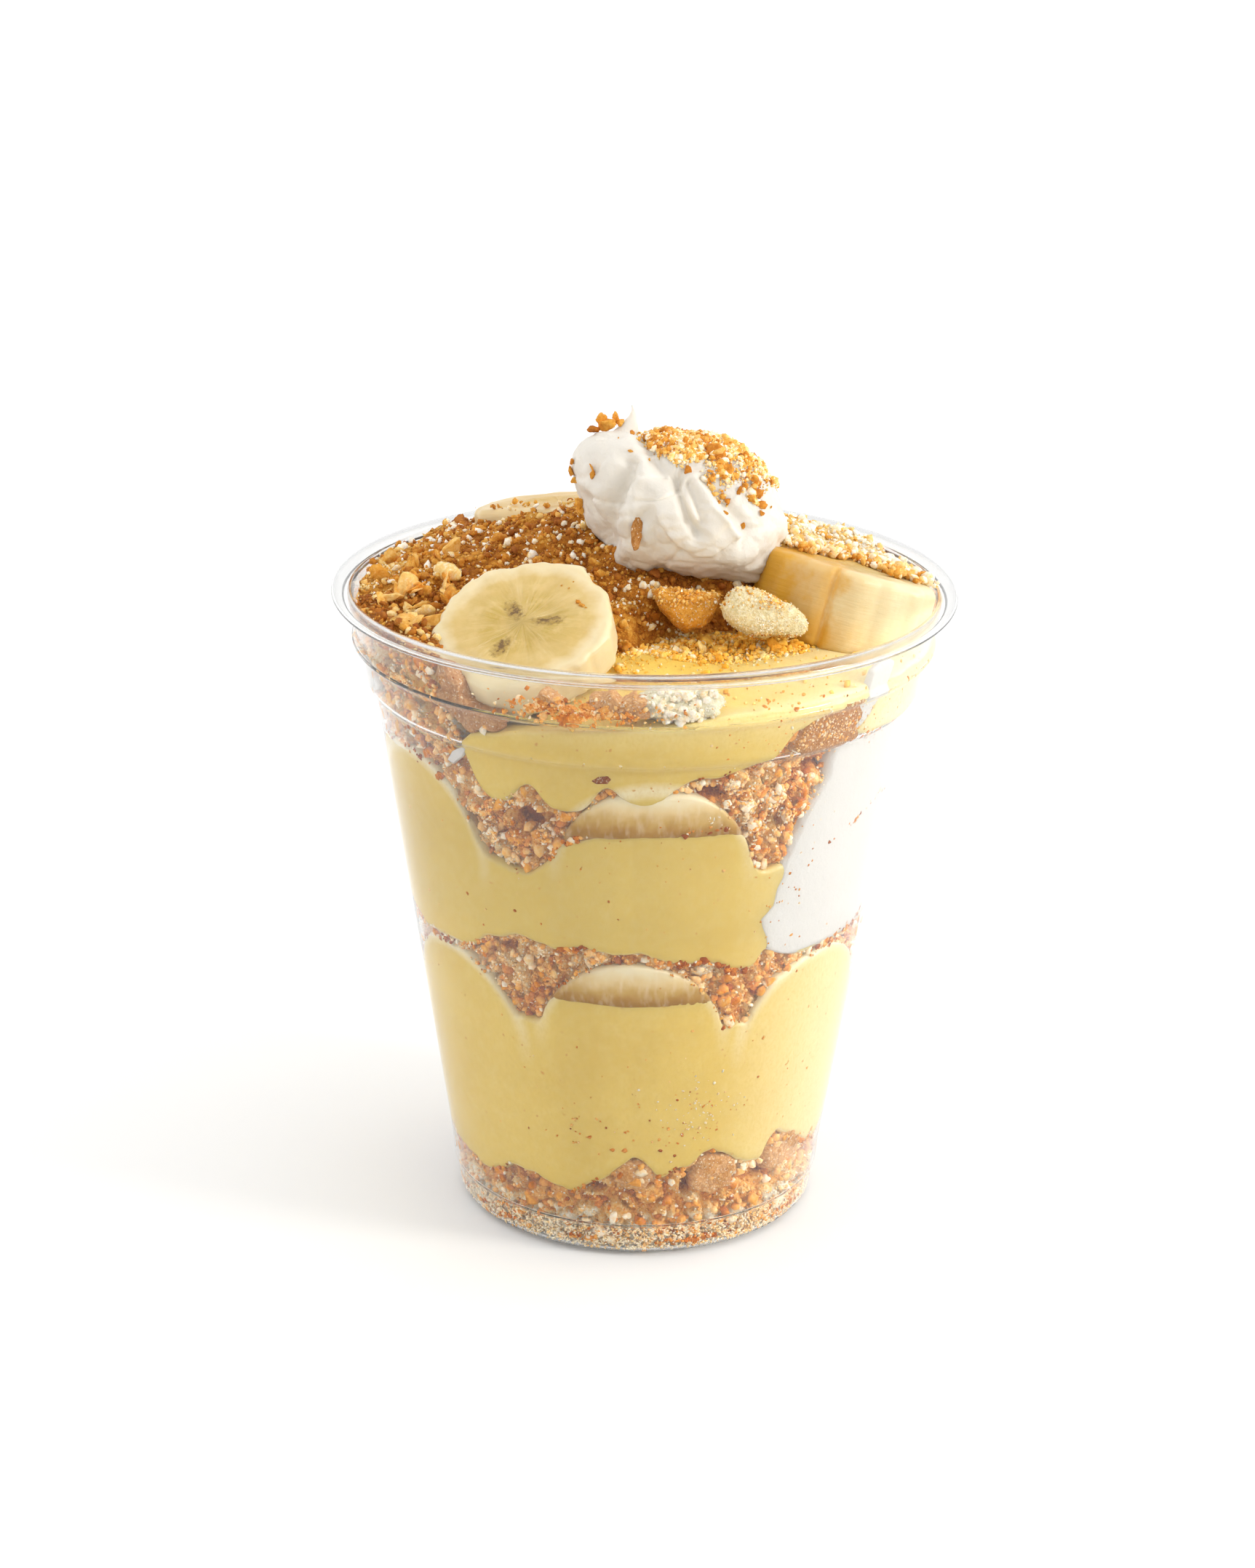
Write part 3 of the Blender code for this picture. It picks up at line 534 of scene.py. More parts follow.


# Painted shade and light across each chunk from left to right: how far painted shade browns it, and how far painted
# light pales it
PAINTED_SHADE_AND_LIGHT = {
    "banana_chunk_right": (
        [(0.12, 1.0), (0.26, 0.55), (0.40, 0.75), (0.50, 0.2), (0.66, 0.0)],
        [(0.5, 0.0), (0.68, 0.15), (0.88, 0.8), (1.0, 0.95)],
    ),
    "banana_chunk_back": ([(0.0, 0.25), (1.0, 0.4)], [(0.0, 0.1), (1.0, 0.0)]),
}
# Seeds of the slice: across and back in radii, length and width
SEEDS = [(-0.10, 0.20, 0.21, 0.11), (0.28, -0.02, 0.22, 0.10), (-0.22, -0.36, 0.20, 0.11)]


def banana_paint(name, node):
    """Banana flesh with its face pattern about an axis: rays, a paler edge, and seeds, or painted shade and painted
    light across the sides.
    """
    centre, axis, radii, _, _ = TOP_SLICES[node]
    paint = Paint(name, 0.38)
    shift = paint.add("VectorMath", Vector=paint.place)
    shift.operation = "SUBTRACT"
    shift.inputs[1].default_value = [value * MM for value in centre]
    turned = paint.add("Mapping", Vector=shift.outputs[0])
    turned.vector_type = "POINT"
    turned.inputs["Rotation"].default_value = Matrix([list(way) for way in disc_frame(axis)]).to_euler()
    scaled = paint.add("VectorMath", Vector=turned.outputs[0])
    scaled.operation = "MULTIPLY"
    scaled.inputs[1].default_value = (1 / (radii[0] * MM), 1 / (radii[1] * MM), 1 / (radii[0] * MM))
    u, v, w = paint.parts(scaled.outputs[0])
    reach = u.hypot(v)
    angle = v.math("ARCTAN2", u)
    wave = paint.add("CombineXYZ", X=angle.math("COSINE"), Y=angle.math("SINE"), Z=reach * 0.25)
    rays = paint.texture(wave.outputs[0], 3.2, 5.0, 0.7, 1.3)
    long = paint.add("CombineXYZ", X=u * 2.0, Y=v * 2.0, Z=w * 22.0)
    fibre = paint.texture(long.outputs[0], 1.0, 3.0, 0.6)
    patches = paint.noise(3.5, 3.0)
    paint.colour = paint.ramp(patches, [(0.3, (0.62, 0.425, 0.130)), (0.7, (0.71, 0.515, 0.205))])
    relief = side = paint.ramp(reach, [(0.93, 0.0), (0.99, 1.0)])
    paint.coat((0.55, 0.38, 0.09), side * paint.ramp(fibre, [(0.36, 0.25), (0.62, 0.0)]))
    if node not in PAINTED_SHADE_AND_LIGHT:
        paint.coat((0.86, 0.72, 0.44), side * 0.7)
    lobes = angle.scaled(3.0, 0.6).math("COSINE") * 0.10
    within = paint.ramp(reach - lobes * reach, [(0.0, 0.8), (0.34, 1.0), (0.62, 0.4), (0.88, 0.0)], "EASE")
    broken = within * paint.ramp(paint.noise(2.2, 3.0, 0.6), [(0.34, 0.1), (0.52, 1.0)])
    paint.coat((0.50, 0.33, 0.05), broken * paint.ramp(rays, [(0.38, 0.0), (0.62, 1.0)]) * 0.95)
    paint.coat((0.80, 0.70, 0.42), broken * paint.ramp(rays, [(0.30, 1.0), (0.46, 0.0)]) * 0.5)
    edge = paint.ramp(reach + patches.scaled(0.2, -0.1), [(0.74, 0.0), (0.9, 1.0), (0.99, 0.8)])
    paint.coat((0.81, 0.71, 0.47), edge * 0.7)
    if node in PAINTED_SHADE_AND_LIGHT:
        painted_shade, painted_light = PAINTED_SHADE_AND_LIGHT[node]
        # painted shade and painted light laid across the chunk from left to right
        across = u.scaled(0.5, 0.5) + paint.noise(4.5, 4.0, 0.6).scaled(0.5, -0.25)
        paint.coat((0.67, 0.34, 0.024), across, painted_shade)
        paint.coat((0.83, 0.71, 0.44), across, painted_light)
        # painted reflection: the lower part of the chunk orange, standing in for light bounced from the custard
        # below
        low = paint.ramp(w.scaled(0.5, 0.5), [(0.36, 1.0), (0.50, 0.0)])
        paint.coat((0.66, 0.33, 0.02), low * paint.ramp(across, [(0.3, 0.85), (0.8, 0.0)]))
    else:
        total = None
        for seed_u, seed_v, length, width in SEEDS:
            away = math.atan2(seed_v, seed_u)
            x, y = u - seed_u, v - seed_v
            out = x * math.cos(away) + y * math.sin(away)
            # the fibres of the slice stand out more, the further they are from its last seed's line
            relief = y * math.cos(away) - x * math.sin(away)
            size = abs(out / length) ** 2.0 + abs(relief / width) ** 2.0
            mask = paint.ramp(size + paint.noise(0.6, 2.0).scaled(1.6, -0.8), [(0.25, 1.0), (1.15, 0.0)])
            total = mask if total is None else total.math("MAXIMUM", mask)
        spots = paint.ramp(paint.noise(0.8, 2.0, 0.6), [(0.42, 0.1), (0.60, 1.0)])
        paint.coat((0.43, 0.27, 0.045), total * 0.75)
        paint.coat((0.17, 0.085, 0.015), total * total * spots)
    return paint.finish((rays * within + fibre * relief * 0.35, 0.6, 0.6), (paint.noise(0.9, 3.0), 0.3, 0.15),
                        sunk=(0.5, (3.5, 2.2, 0.9)), Specular_IOR_Level=0.5)


def cup_paint():
    """Clear plastic, a little milky, that lets light through to what is behind it."""
    clear = (0.985, 0.99, 0.99)
    paint = Paint("clear_plastic", 0.03, clear)
    _, _, height = paint.parts()
    rim = paint.ramp(height / 0.12, [(0.815, 0.0), (0.835, 1.0)])
    paint.set(Base_Color=paint.blend(rim, clear, (0.93, 0.93, 0.925)), Transmission_Weight=1.0, IOR=1.42,
              Specular_IOR_Level=0.5, Sheen_Weight=0.12, Sheen_Roughness=0.45)
    through = paint.add("BsdfTransparent", Color=(0.96, 0.965, 0.965, 1.0))
    swap = paint.add("MixShader", Fac=paint.add("LightPath").outputs["Is Shadow Ray"])
    out = paint.tree.nodes["Material Output"]
    for start, end in ((paint.shader, swap.inputs[1]), (through, swap.inputs[2]), (swap, out.inputs[0])):
        paint.tree.links.new(start.outputs[0], end)
    return paint.mat


CREAM = cream_paint("cream_soft", (0.69, 0.67, 0.635), (0.74, 0.72, 0.69))
WALL_STOPS = [
    (0.0, (0.36, 0.075, 0.007)), (0.25, (0.72, 0.23, 0.022)), (0.5, (0.92, 0.44, 0.082)),
    (0.78, (0.99, 0.68, 0.31)), (1.0, (1.0, 0.90, 0.72)),
]
TOP_STOPS = [
    (0.0, (0.30, 0.085, 0.008)), (0.28, (0.53, 0.19, 0.017)), (0.52, (0.74, 0.36, 0.052)),
    (0.78, (0.88, 0.62, 0.23)), (1.0, (0.97, 0.91, 0.79)),
]
WALL_CRUMB = crumb_paint("crumb_at_wall", WALL_STOPS)
TOP_CRUMB = crumb_paint("crumb_on_top", TOP_STOPS)
# Crumbs on the custard: golden, and with painted light, brighter than the same crumbs elsewhere as if lit by light
# bounced from the custard
GOLDEN_BOUNCE_LIT_CRUMB = crumb_paint("crumb_on_custard", [
    (0.0, (0.55, 0.20, 0.015)), (0.3, (0.90, 0.42, 0.035)), (0.55, (0.98, 0.60, 0.10)),
    (0.8, (1.0, 0.80, 0.36)), (1.0, (1.0, 0.94, 0.72)),
])
WALL_CORE = core_paint("packed_crumb", WALL_STOPS)
TOP_CORE = core_paint("packed_crumb_top", TOP_STOPS)
CUP = cup_paint()


# Cup: one thin wall of even thickness along a profile, with rounded corners
def rounded(points, radius, steps=4):
    """The same path with its corners rounded off."""
    points = [np.array(point, float) for point in points]
    made = [points[0]]
    for before, here, after in zip(points, points[1:], points[2:]):
        way_in = before - here
        way_out = after - here
        reach = min(radius, 0.45 * np.linalg.norm(way_in), 0.45 * np.linalg.norm(way_out))
        start = here + way_in / np.linalg.norm(way_in) * reach
        end = here + way_out / np.linalg.norm(way_out) * reach
        for step in range(steps + 1):
            t = step / steps
            made.append((1 - t) ** 2 * start + 2 * t * (1 - t) * here + t ** 2 * end)
    made.append(points[-1])
    return np.array(made)


def make_cup():
    half = WALL / 2
    path = [(0.0, 1.6), (22.3, 1.6), (24.7, half), (28.0, half), (28.95, 1.0), (29.42, 5.2), (29.84, 5.65)]
    path += [(30.15, 9.5), (42.15, 87.1), (43.35, 88.05), (44.25, 93.8), (45.62, 94.75), (45.62, 95.05)]
    path += [(44.95, 95.9), (45.5, 100.2)]
    path = rounded(path, 0.8)
    centre, wide, tall = (47.42, 102.38), 1.33, 0.87
    curl = []
    for degrees in range(200, -121, -14):
        turn = math.radians(degrees)
        curl.append((centre[0] + wide * math.cos(turn), centre[1] + tall * math.sin(turn)))
    path = np.concatenate([path, curl])
    along_path = unit(np.gradient(path, axis=0))
    normal = np.stack([along_path[:, 1], -along_path[:, 0]], -1)
    normal[0] = (0.0, -1.0)
    outside = path + normal * half
    inside = path - normal * half
    tip = path[-1] + along_path[-1] * half * 0.7
    outline = np.concatenate([inside, [tip], outside[::-1]])
    turn = turns(216)
    radius, height = outline[1:-1, :1], outline[1:-1, 1:]
    rings = np.stack(np.broadcast_arrays(radius * np.cos(turn), radius * np.sin(turn), height), -1)
    verts, faces = closed_rings(rings, (0.0, 0.0, outline[0, 1]), (0.0, 0.0, outline[-1, 1]))
    make_object("cup_clear", verts, faces, CUP, ["cup"])


# Lines at the wall where the layers meet, as angle and height
BASE_LINE = soft_line([
    (-180, 14), (-165, 17), (-150, 13), (-135, 11.5), (-120, 15), (-105, 17), (-90, 13), (-75, 11.5),
    (-60, 10.5), (-50, 10), (-38, 13), (-30, 12), (-17, 11), (-12, 13), (-5, 16), (0, 18.5), (5, 16),
    (8, 14.5), (12, 15), (16, 16), (20, 18.5), (23, 19), (27, 18), (31, 16.5), (35, 15.5), (40, 14.5),
    (42, 17), (46, 19), (50, 17), (60, 14), (70, 13), (85, 15), (100, 12), (115, 16), (130, 18),
    (145, 14), (160, 12.5), (172, 15),
])
MIDDLE_LINE = soft_line([
    (-180, 54.5), (-160, 56), (-145, 53), (-130, 52), (-110, 54.5), (-90, 55), (-75, 52), (-65, 50.6),
    (-60, 51), (-50, 51.5), (-45, 51.5), (-42, 53), (-40, 54.5), (-35, 55), (-30, 56.5), (-25, 56),
    (-20, 55), (-12, 56), (-5, 55), (0, 55.5), (5, 54.5), (10, 53.5), (15, 54), (20, 53), (22, 51.5),
    (29, 51.5), (31, 54.5), (35, 54), (40, 52.5), (45, 52), (60, 52.5), (75, 54), (90, 55.5),
    (110, 53), (130, 52), (150, 56), (165, 55),
])
UPPER_LINE = soft_line([
    (-180, 76.5), (-170, 76), (-163, 73), (-159, 69), (-152, 68), (-146, 73), (-140, 79), (-130, 82),
    (-120, 82.5), (-110, 82), (-102, 79), (-96, 71), (-90, 69), (-84, 71), (-79, 78), (-75, 82),
    (-60, 82.5), (-52, 82), (-45, 79.5), (-41, 75), (-38, 70.5), (-36, 69), (-30, 68), (-25, 68),
    (-20, 70.5), (-18, 73.5), (-15, 74.5), (-10, 75.5), (0, 76.5), (19, 76.5), (21, 76.2),
    (24, 74.5), (25, 70), (28, 68.5), (31, 68.5), (45, 70), (60, 74), (90, 78), (110, 82.5),
    (122, 83), (134, 82), (142, 74), (148, 69), (156, 70), (163, 74.5), (170, 76),
])
LOBE_LINE = soft_line([
    (-180, 80), (-172, 79.6), (-166, 82.5), (-161, 80.4), (-156, 79.6), (-150, 81), (-146, 84), (-138, 86),
    (-100, 86), (-96, 82.4), (-91, 80.6), (-86, 81.4), (-82, 84), (-76, 86), (-44, 86.5), (-38.6, 86),
    (-37.6, 82.6), (-36, 80.6), (-34, 79.3), (-31.5, 78.8), (-29, 79.3), (-27, 80.9), (-25, 82.8), (-22.6, 82.6),
    (-21, 80.4), (-19, 79.2), (-16, 78.9), (-12, 79.6), (-10, 81.3), (-8.5, 83.2), (-7, 83.9), (-5, 82.8),
    (-3, 81.0), (0, 80.2), (3, 80.6), (6, 82.8), (9, 84.4), (12, 85.2), (16, 85.0), (20, 85.9), (24, 87.0),
    (28, 88.2), (30, 90.6), (32, 92), (50, 88), (70, 87.5), (95, 87), (110, 86), (135, 86), (141, 83.4),
    (146, 81.2), (152, 80.6), (157, 82.8), (163, 81.6), (171, 80.6),
])
TOP_LINE = soft_line([
    (-180, 96), (-120, 90), (-90, 86), (-60, 83.6), (-44, 84.5), (-36, 90), (-18, 93), (4, 94.6),
    (20, 96.0), (50, 97), (90, 96), (130, 96),
])
VALLEY = 41.0  # how far the middle crumbs dip between the lower slices
# Slices at the wall: angle and height of their middle
LOW_SLICES = {
    "slice_low_front": (-1.5, 39.0), "slice_low_left": (-54.7, 36.2),
    "slice_low_right": (51.5, 36.8), "slice_low_back": (181.5, 39.0),
    "slice_low_back_left": (-125.3, 36.2), "slice_low_back_right": (128.5, 36.8),
}
UP_SLICES = {
    "slice_up_front": (3.0, 68.6), "slice_up_left": (-59.4, 67.5),
    "slice_up_back_left": (-120.6, 67.5), "slice_up_back": (177.5, 68.6),
    "slice_up_back_right": (122.0, 67.8),
}
LOW_RADIUS = 14.4
UP_RADIUS = 15.0
SHARES = (0.92, 0.8, 0.6, 0.35)  # where the rings of a level surface lie, from the wall in
# The custard is paler over these slices' edges, more and more between two heights
CUSTARD = custard_paint([
    (*LOW_SLICES["slice_low_front"], LOW_RADIUS, 36.0, 50.0),
    (*LOW_SLICES["slice_low_left"], LOW_RADIUS, 33.0, 47.0),
    (*LOW_SLICES["slice_low_right"], LOW_RADIUS, 33.0, 47.0),
    (*UP_SLICES["slice_up_front"], UP_RADIUS, 66.0, 80.0),
    (*UP_SLICES["slice_up_left"], UP_RADIUS, 62.0, 78.0),
    (*LOW_SLICES["slice_low_back"], LOW_RADIUS, 36.0, 50.0),
])


def wavy(points, angle, level, amount, size, seed):
    """The line with the small lobes of a soft edge."""
    height = line(points, angle)
    height = height + amount * round_noise(angle, inner(level), 0.0, size, seed)
    return height + 0.4 * amount * round_noise(angle, inner(level), 5.0, size / 2.5, seed + 1)


def base_line(angle):
    return wavy(BASE_LINE, angle, 14, 0.85, 2.8, 1)


def middle_line(angle):
    return wavy(MIDDLE_LINE, angle, 54, 0.45, 2.6, 7)


def upper_line(angle):
    return wavy(UPPER_LINE, angle, 75, 0.35, 2.4, 9)


def lobe_line(angle):
    return wavy(LOBE_LINE, angle, 82, 0.14, 3.4, 11)


def top_line(angle):
    return wavy(TOP_LINE, angle, 94, 0.35, 4.0, 13)


def crumb_under(angle):
    """Lower edge of the middle crumbs: down between the slices."""
    edge = np.full(np.shape(angle), VALLEY + 0.8)
    for middle, centre in LOW_SLICES.values():
        across = np.radians(fold(angle - middle)) * inner(39.0)
        rise = LOW_RADIUS ** 2 - across * across
        edge = np.maximum(edge, np.where(rise > 0, centre + np.sqrt(np.maximum(rise, 0)), edge))
    return edge + 0.45 * round_noise(angle, inner(45), 0.0, 2.2, 3)


def low_custard_top(angle):
    """Custard up to the line where the front slices touch the wall."""
    edge = crumb_under(angle)
    for name in ("slice_low_front", "slice_low_back"):
        middle, centre = LOW_SLICES[name]
        across = np.radians(fold(angle - middle)) * inner(47)
        touch = centre + 8.0 + 0.012 * across ** 2 + 0.25 * round_noise(angle, inner(47), 1.0, 3.0, 5)
        edge = np.where(np.abs(across) < 10.6, np.minimum(edge, touch), edge)
    return edge


def settle(level, edge, share):
    """Height of a layer's surface: level inside, and up or down to its edge at the wall."""
    return mix(level, edge, smoothstep(0.45, 0.9, share))


def surface_rings(level, edge, shares):
    """Rings of a layer's surface, each a share of the way out to the wall."""
    heights = [settle(level, edge, share) for share in shares]
    return [point_at(ANGLES, share * inner(height), height) for share, height in zip(shares, heights)]


def edge_inset(near, soften):
    """How far a rounded edge stays back, from the distance to the edge and the rounding's radius."""
    return soften * (1.0 - np.sqrt(np.clip(1.0 - (1.0 - np.clip(near / soften, 0, 1)) ** 2, 0, 1)))


def wall_rows(low, high, press, soften, rows, packed=False):
    """Rings down the wall from high to low, curving off the wall at both edges."""
    share = 0.5 + 0.5 * np.cos(np.linspace(0.0, math.pi, rows))[:, None]
    height = low + (high - low) * share
    radius = inner(height) + press - edge_inset(np.minimum(height - low, high - height), soften)
    if packed:
        radius = radius - crumb_recess(ANGLES[None, :], height)
    return point_at(ANGLES[None, :], radius, height)


# Hollows between crumbs at the wall, set back and painted dark as shade: angle, height, half width and half height
GAPS = [
    (-24.0, 77.2, 4.5, 1.6), (14.5, 82.6, 3.2, 1.0), (38.0, 84.6, 5.0, 0.8), (30.0, 76.4, 3.6, 0.7),
    (-12.0, 12.2, 3.6, 0.9), (16.0, 12.4, 2.2, 2.2), (42.0, 11.6, 7.0, 1.3), (-34.0, 53.6, 3.0, 0.7),
    (-50.0, 92.0, 4.0, 1.0), (-62.0, 97.0, 5.0, 1.0), (150.0, 76.0, 4.0, 1.5), (-95.0, 76.0, 4.0, 1.4),
    (110.0, 12.0, 5.0, 1.2), (-140.0, 12.0, 6.0, 1.0), (165.0, 54.0, 5.0, 0.6), (-80.0, 12.0, 5.0, 1.0),
]


def gap_share(angle, height):
    total = 0.0
    for middle, level, wide, tall in GAPS:
        far = (fold(angle - middle) / wide) ** 2 + ((height - level) / tall) ** 2
        total = np.maximum(total, 1.0 - smoothstep(0.5, 1.3, far))
    return total


def crumb_recess(angle, height):
    """How far packed crumbs stay off the wall."""
    spots = point_at(angle, inner(height), height)
    tone, edge = lumps(spots)
    fine = 0.5 + 0.5 * noise(spots, 1.1, 22)
    crack = smoothstep(0.30, 0.0, edge)
    return 0.2 + 0.5 * tone + 1.3 * crack + 0.4 * fine + 2.0 * gap_share(angle, height)


def core_tone(verts):
    """Tone of packed crumbs: pale and dark patches, painted shade along the lumps' edges and in the hollows, paler
    in the foot.
    """
    angle, at_wall = beside_wall(verts)
    lump, edge = lumps(at_wall)
    tone = 0.42 + 0.4 * lump + 0.14 * noise(verts, 1.6, 92) - 0.3 * smoothstep(0.25, 0.0, edge)
    return tone - 0.45 * gap_share(angle, verts[:, 2]) + 0.42 * smoothstep(8.0, 5.0, verts[:, 2])


def fill(name, node, low, high, low_level, high_level, rows, packed):
    """Layer between two lines at the wall, level inside: of packed crumbs, or else of custard."""
    wall = wall_rows(low, high, 0.1, 0.9 if packed else 1.0, rows, packed)
    rings = surface_rings(high_level, wall[0, :, 2], SHARES[::-1]) + list(wall)
    rings += surface_rings(low_level, wall[-1, :, 2], SHARES)
    verts, faces = closed_rings(rings, (0, 0, rings[0][:, 2].mean()), (0, 0, rings[-1][:, 2].mean()))
    if packed:
        make_object(name, verts, faces, WALL_CORE, [node], tone=core_tone(verts))
    else:
        make_object(name, verts, faces, CUSTARD, [node])


def wall_grains(draw, count, sizes, low, high, press, level, keep=None, deep=1.0):
    """Grains pressed to the wall between two lines."""
    angle = draw.uniform(-180, 180, count * 4)
    # fewer of them behind, where less is seen
    angle = angle[draw.uniform(0, 1, len(angle)) < np.where(np.abs(angle) < 100, 1.0, 0.6)]
    bottom = low(angle)
    gap = high(angle) - bottom
    height = bottom + gap * draw.uniform(0, 1, len(angle))
    right = draw.uniform(0, 1, len(angle)) < np.clip(gap / np.percentile(gap, 95), 0.0, 1.0)
    right &= (gap > 0.3) & (draw.uniform(0, 1, len(angle)) > 1.2 * gap_share(angle, height))
    if keep is not None:
        right &= keep(angle, height)
    angle, height = angle[right][:count], height[right][:count]
    size = crumb_sizes(draw, len(angle), sizes, 1.7)
    radius = inner(height) + 0.1 - deep * crumb_recess(angle, height) + size * draw.uniform(0.0, 0.6, len(angle))
    radius = np.minimum(radius, inner(height) + press - 0.3 * size)
    return grains(draw, point_at(angle, radius, height), size, level, press=press)


def wall_layer(draw, low, high, rows, keep=None):
    """Grains between two lines, from rows of count, sizes, press, level of detail and middle tone."""
    return [
        (wall_grains(draw, count, sizes, low, high, press, level, keep), middle)
        for count, sizes, press, level, middle in rows
    ]


def edge_grains(draw, count, sizes, edge, press=0.24, spread=0.35):
    """Orange bits along the edge of a layer."""
    angle = draw.uniform(-180, 180, count)
    angle = angle[round_noise(angle, 40.0, 0.0, 6.0, 23) > -0.1]
    height = edge(angle) + draw.normal(0.0, spread, len(angle))
    size = crumb_sizes(draw, len(angle), sizes)
    return grains(draw, point_at(angle, inner(height) + press - 0.6 * size, height), size, press=press)


def clumps(draw, spots, press=0.24, count=90):
    """Soft crumbly lumps at the wall from their angle, height and size, as two groups."""
    angle, height, size = np.array(spots, float).T
    centres = point_at(angle, inner(height) + press - 0.7 * size, height)
    body = grains(draw, centres, 0.8 * size, 3, 0.5, press=press - 0.12)
    around = draw.normal(size=(len(size), count, 3))
    around *= draw.uniform(0.75, 1.05, (len(size), count, 1)) / np.linalg.norm(around, axis=-1, keepdims=True)
    around = (centres[:, None, :] + around * size[:, None, None] * 0.85).reshape(-1, 3)
    limit = inner(around[:, 2]) + press - 0.2
    around[:, :2] *= np.minimum(1.0, limit / np.hypot(around[:, 0], around[:, 1]))[:, None]
    dust = grains(draw, around, draw.uniform(0.16, 0.46, len(around)), 0, press=press)
    return body, dust


def grain_tones(draw, centres, middle, spread=0.13, patch=0.36, pale=0.14):
    """Tones that go with the lump each grain lies on, darker near a lump's edge as painted shade, and a share of
    sugary grains.
    """
    at_wall = beside_wall(centres)[1]
    depth = inner(centres[:, 2]) - np.hypot(centres[:, 0], centres[:, 1])
    lump, edge = lumps(np.where(depth[:, None] < 3.0, at_wall, centres))
    tone = middle + patch * (lump - 0.5) - 0.2 * smoothstep(0.2, 0.0, edge) + draw.normal(0.0, spread, len(centres))
    sugar = draw.uniform(0, 1, len(centres)) < pale
    return np.clip(np.where(sugar, draw.normal(0.95, 0.06, len(centres)), tone), 0.0, 1.0)


def toned(draw, group, middle, *spreads):
    """A grain group with the tone of each grain in place of its centre."""
    return (*group[:3], grain_tones(draw, group[3], middle, *spreads))


def wall_crumbs(draw, name, node, groups):
    """One piece of crumbs at the wall from grain groups, each with its middle tone."""
    crumb_piece(name, WALL_CRUMB, [node], [toned(draw, group, middle) for group, middle in groups])


# Layers
def make_base():
    """Crumbs in the cup's foot, over the raised middle of its floor."""
    draw = np.random.default_rng(3)
    line_up = base_line(ANGLES)
    low = np.full(COLUMNS, 0.75)
    height = low + (line_up - low) * np.linspace(1.0, 0.0, 30)[:, None]
    radius = inner(height) + 0.1 - crumb_recess(ANGLES[None, :], height)
    rings = [point_at(ANGLES, part * inner(14), settle(14.0, line_up, part)) for part in (0.4, 0.7, 0.9)]
    rings += list(point_at(ANGLES[None, :], radius, height))
    rings += [point_at(ANGLES, 25.6, low), point_at(ANGLES, 22.2, np.full(COLUMNS, 2.1))]
    verts, faces = closed_rings(rings, (0, 0, 14.0), (0, 0, 2.1))
    make_object("base_crumbs_packed", verts, faces, WALL_CORE, ["crumb_base"], tone=core_tone(verts))

    def floor_line(angle):
        return np.full(np.shape(angle), 0.9)

    def foot_line(angle):
        return np.full(np.shape(angle), 5.2)

    def gold_line(angle):
        return 2.4 + 0.3 * round_noise(angle, 29.0, 0.0, 5.0, 25)

    def amber_line(angle):
        return 4.3 + 0.4 * round_noise(angle, 29.0, 0.0, 4.0, 26)

    wall_crumbs(draw, "base_crumbs", "crumb_base", [
        *wall_layer(draw, floor_line, base_line, [(6000, FINE, 0.14, 0, 0.64)]),
        (wall_grains(draw, 7000, (0.14, 0.34), floor_line, foot_line, 0.2, level=0, deep=0.2), 1.0),
        *wall_layer(draw, floor_line, base_line, [(700, COARSE, 0.16, 1, 0.5), (60, LARGE, 0.2, 2, 0.5)]),
        (edge_grains(draw, 900, (0.18, 0.5), gold_line, 0.28, spread=0.25), 0.3),
        (edge_grains(draw, 400, (0.14, 0.4), amber_line, 0.28, spread=0.3), 0.34),
        (edge_grains(draw, 420, (0.2, 0.6), base_line), 0.3),
    ])


def make_middle_crumbs():
    draw = np.random.default_rng(5)
    fill("middle_crumbs_packed", "crumb_middle", crumb_under(ANGLES) - 0.6, middle_line(ANGLES) + 0.5, 49.0, 54.0,
         rows=18, packed=True)
    wall_crumbs(draw, "middle_crumbs", "crumb_middle", [
        *wall_layer(draw, crumb_under, middle_line, [
            (7000, FINE, 0.14, 0, 0.64), (750, COARSE, 0.16, 1, 0.5), (30, (0.9, 1.5), 0.2, 2, 0.6),
        ]),
        (edge_grains(draw, 700, (0.2, 0.8), middle_line), 0.24),
        (edge_grains(draw, 420, (0.16, 0.45), crumb_under), 0.3),
    ])


# Pale lumps at the wall in the upper crumbs: angle, height and size
PALE_LUMPS = [
    (-31.5, 79.2, 2.2), (-28.0, 80.4, 1.7), (-35.5, 76.5, 1.5), (-21.2, 74.6, 1.7), (-34.0, 73.0, 1.3),
    (15.5, 78.2, 2.1), (22.5, 80.2, 2.7), (26.0, 76.4, 2.1), (29.5, 80.6, 2.3), (33.5, 77.5, 1.8),
    (20.0, 83.4, 1.8), (36.0, 82.0, 2.0),
]


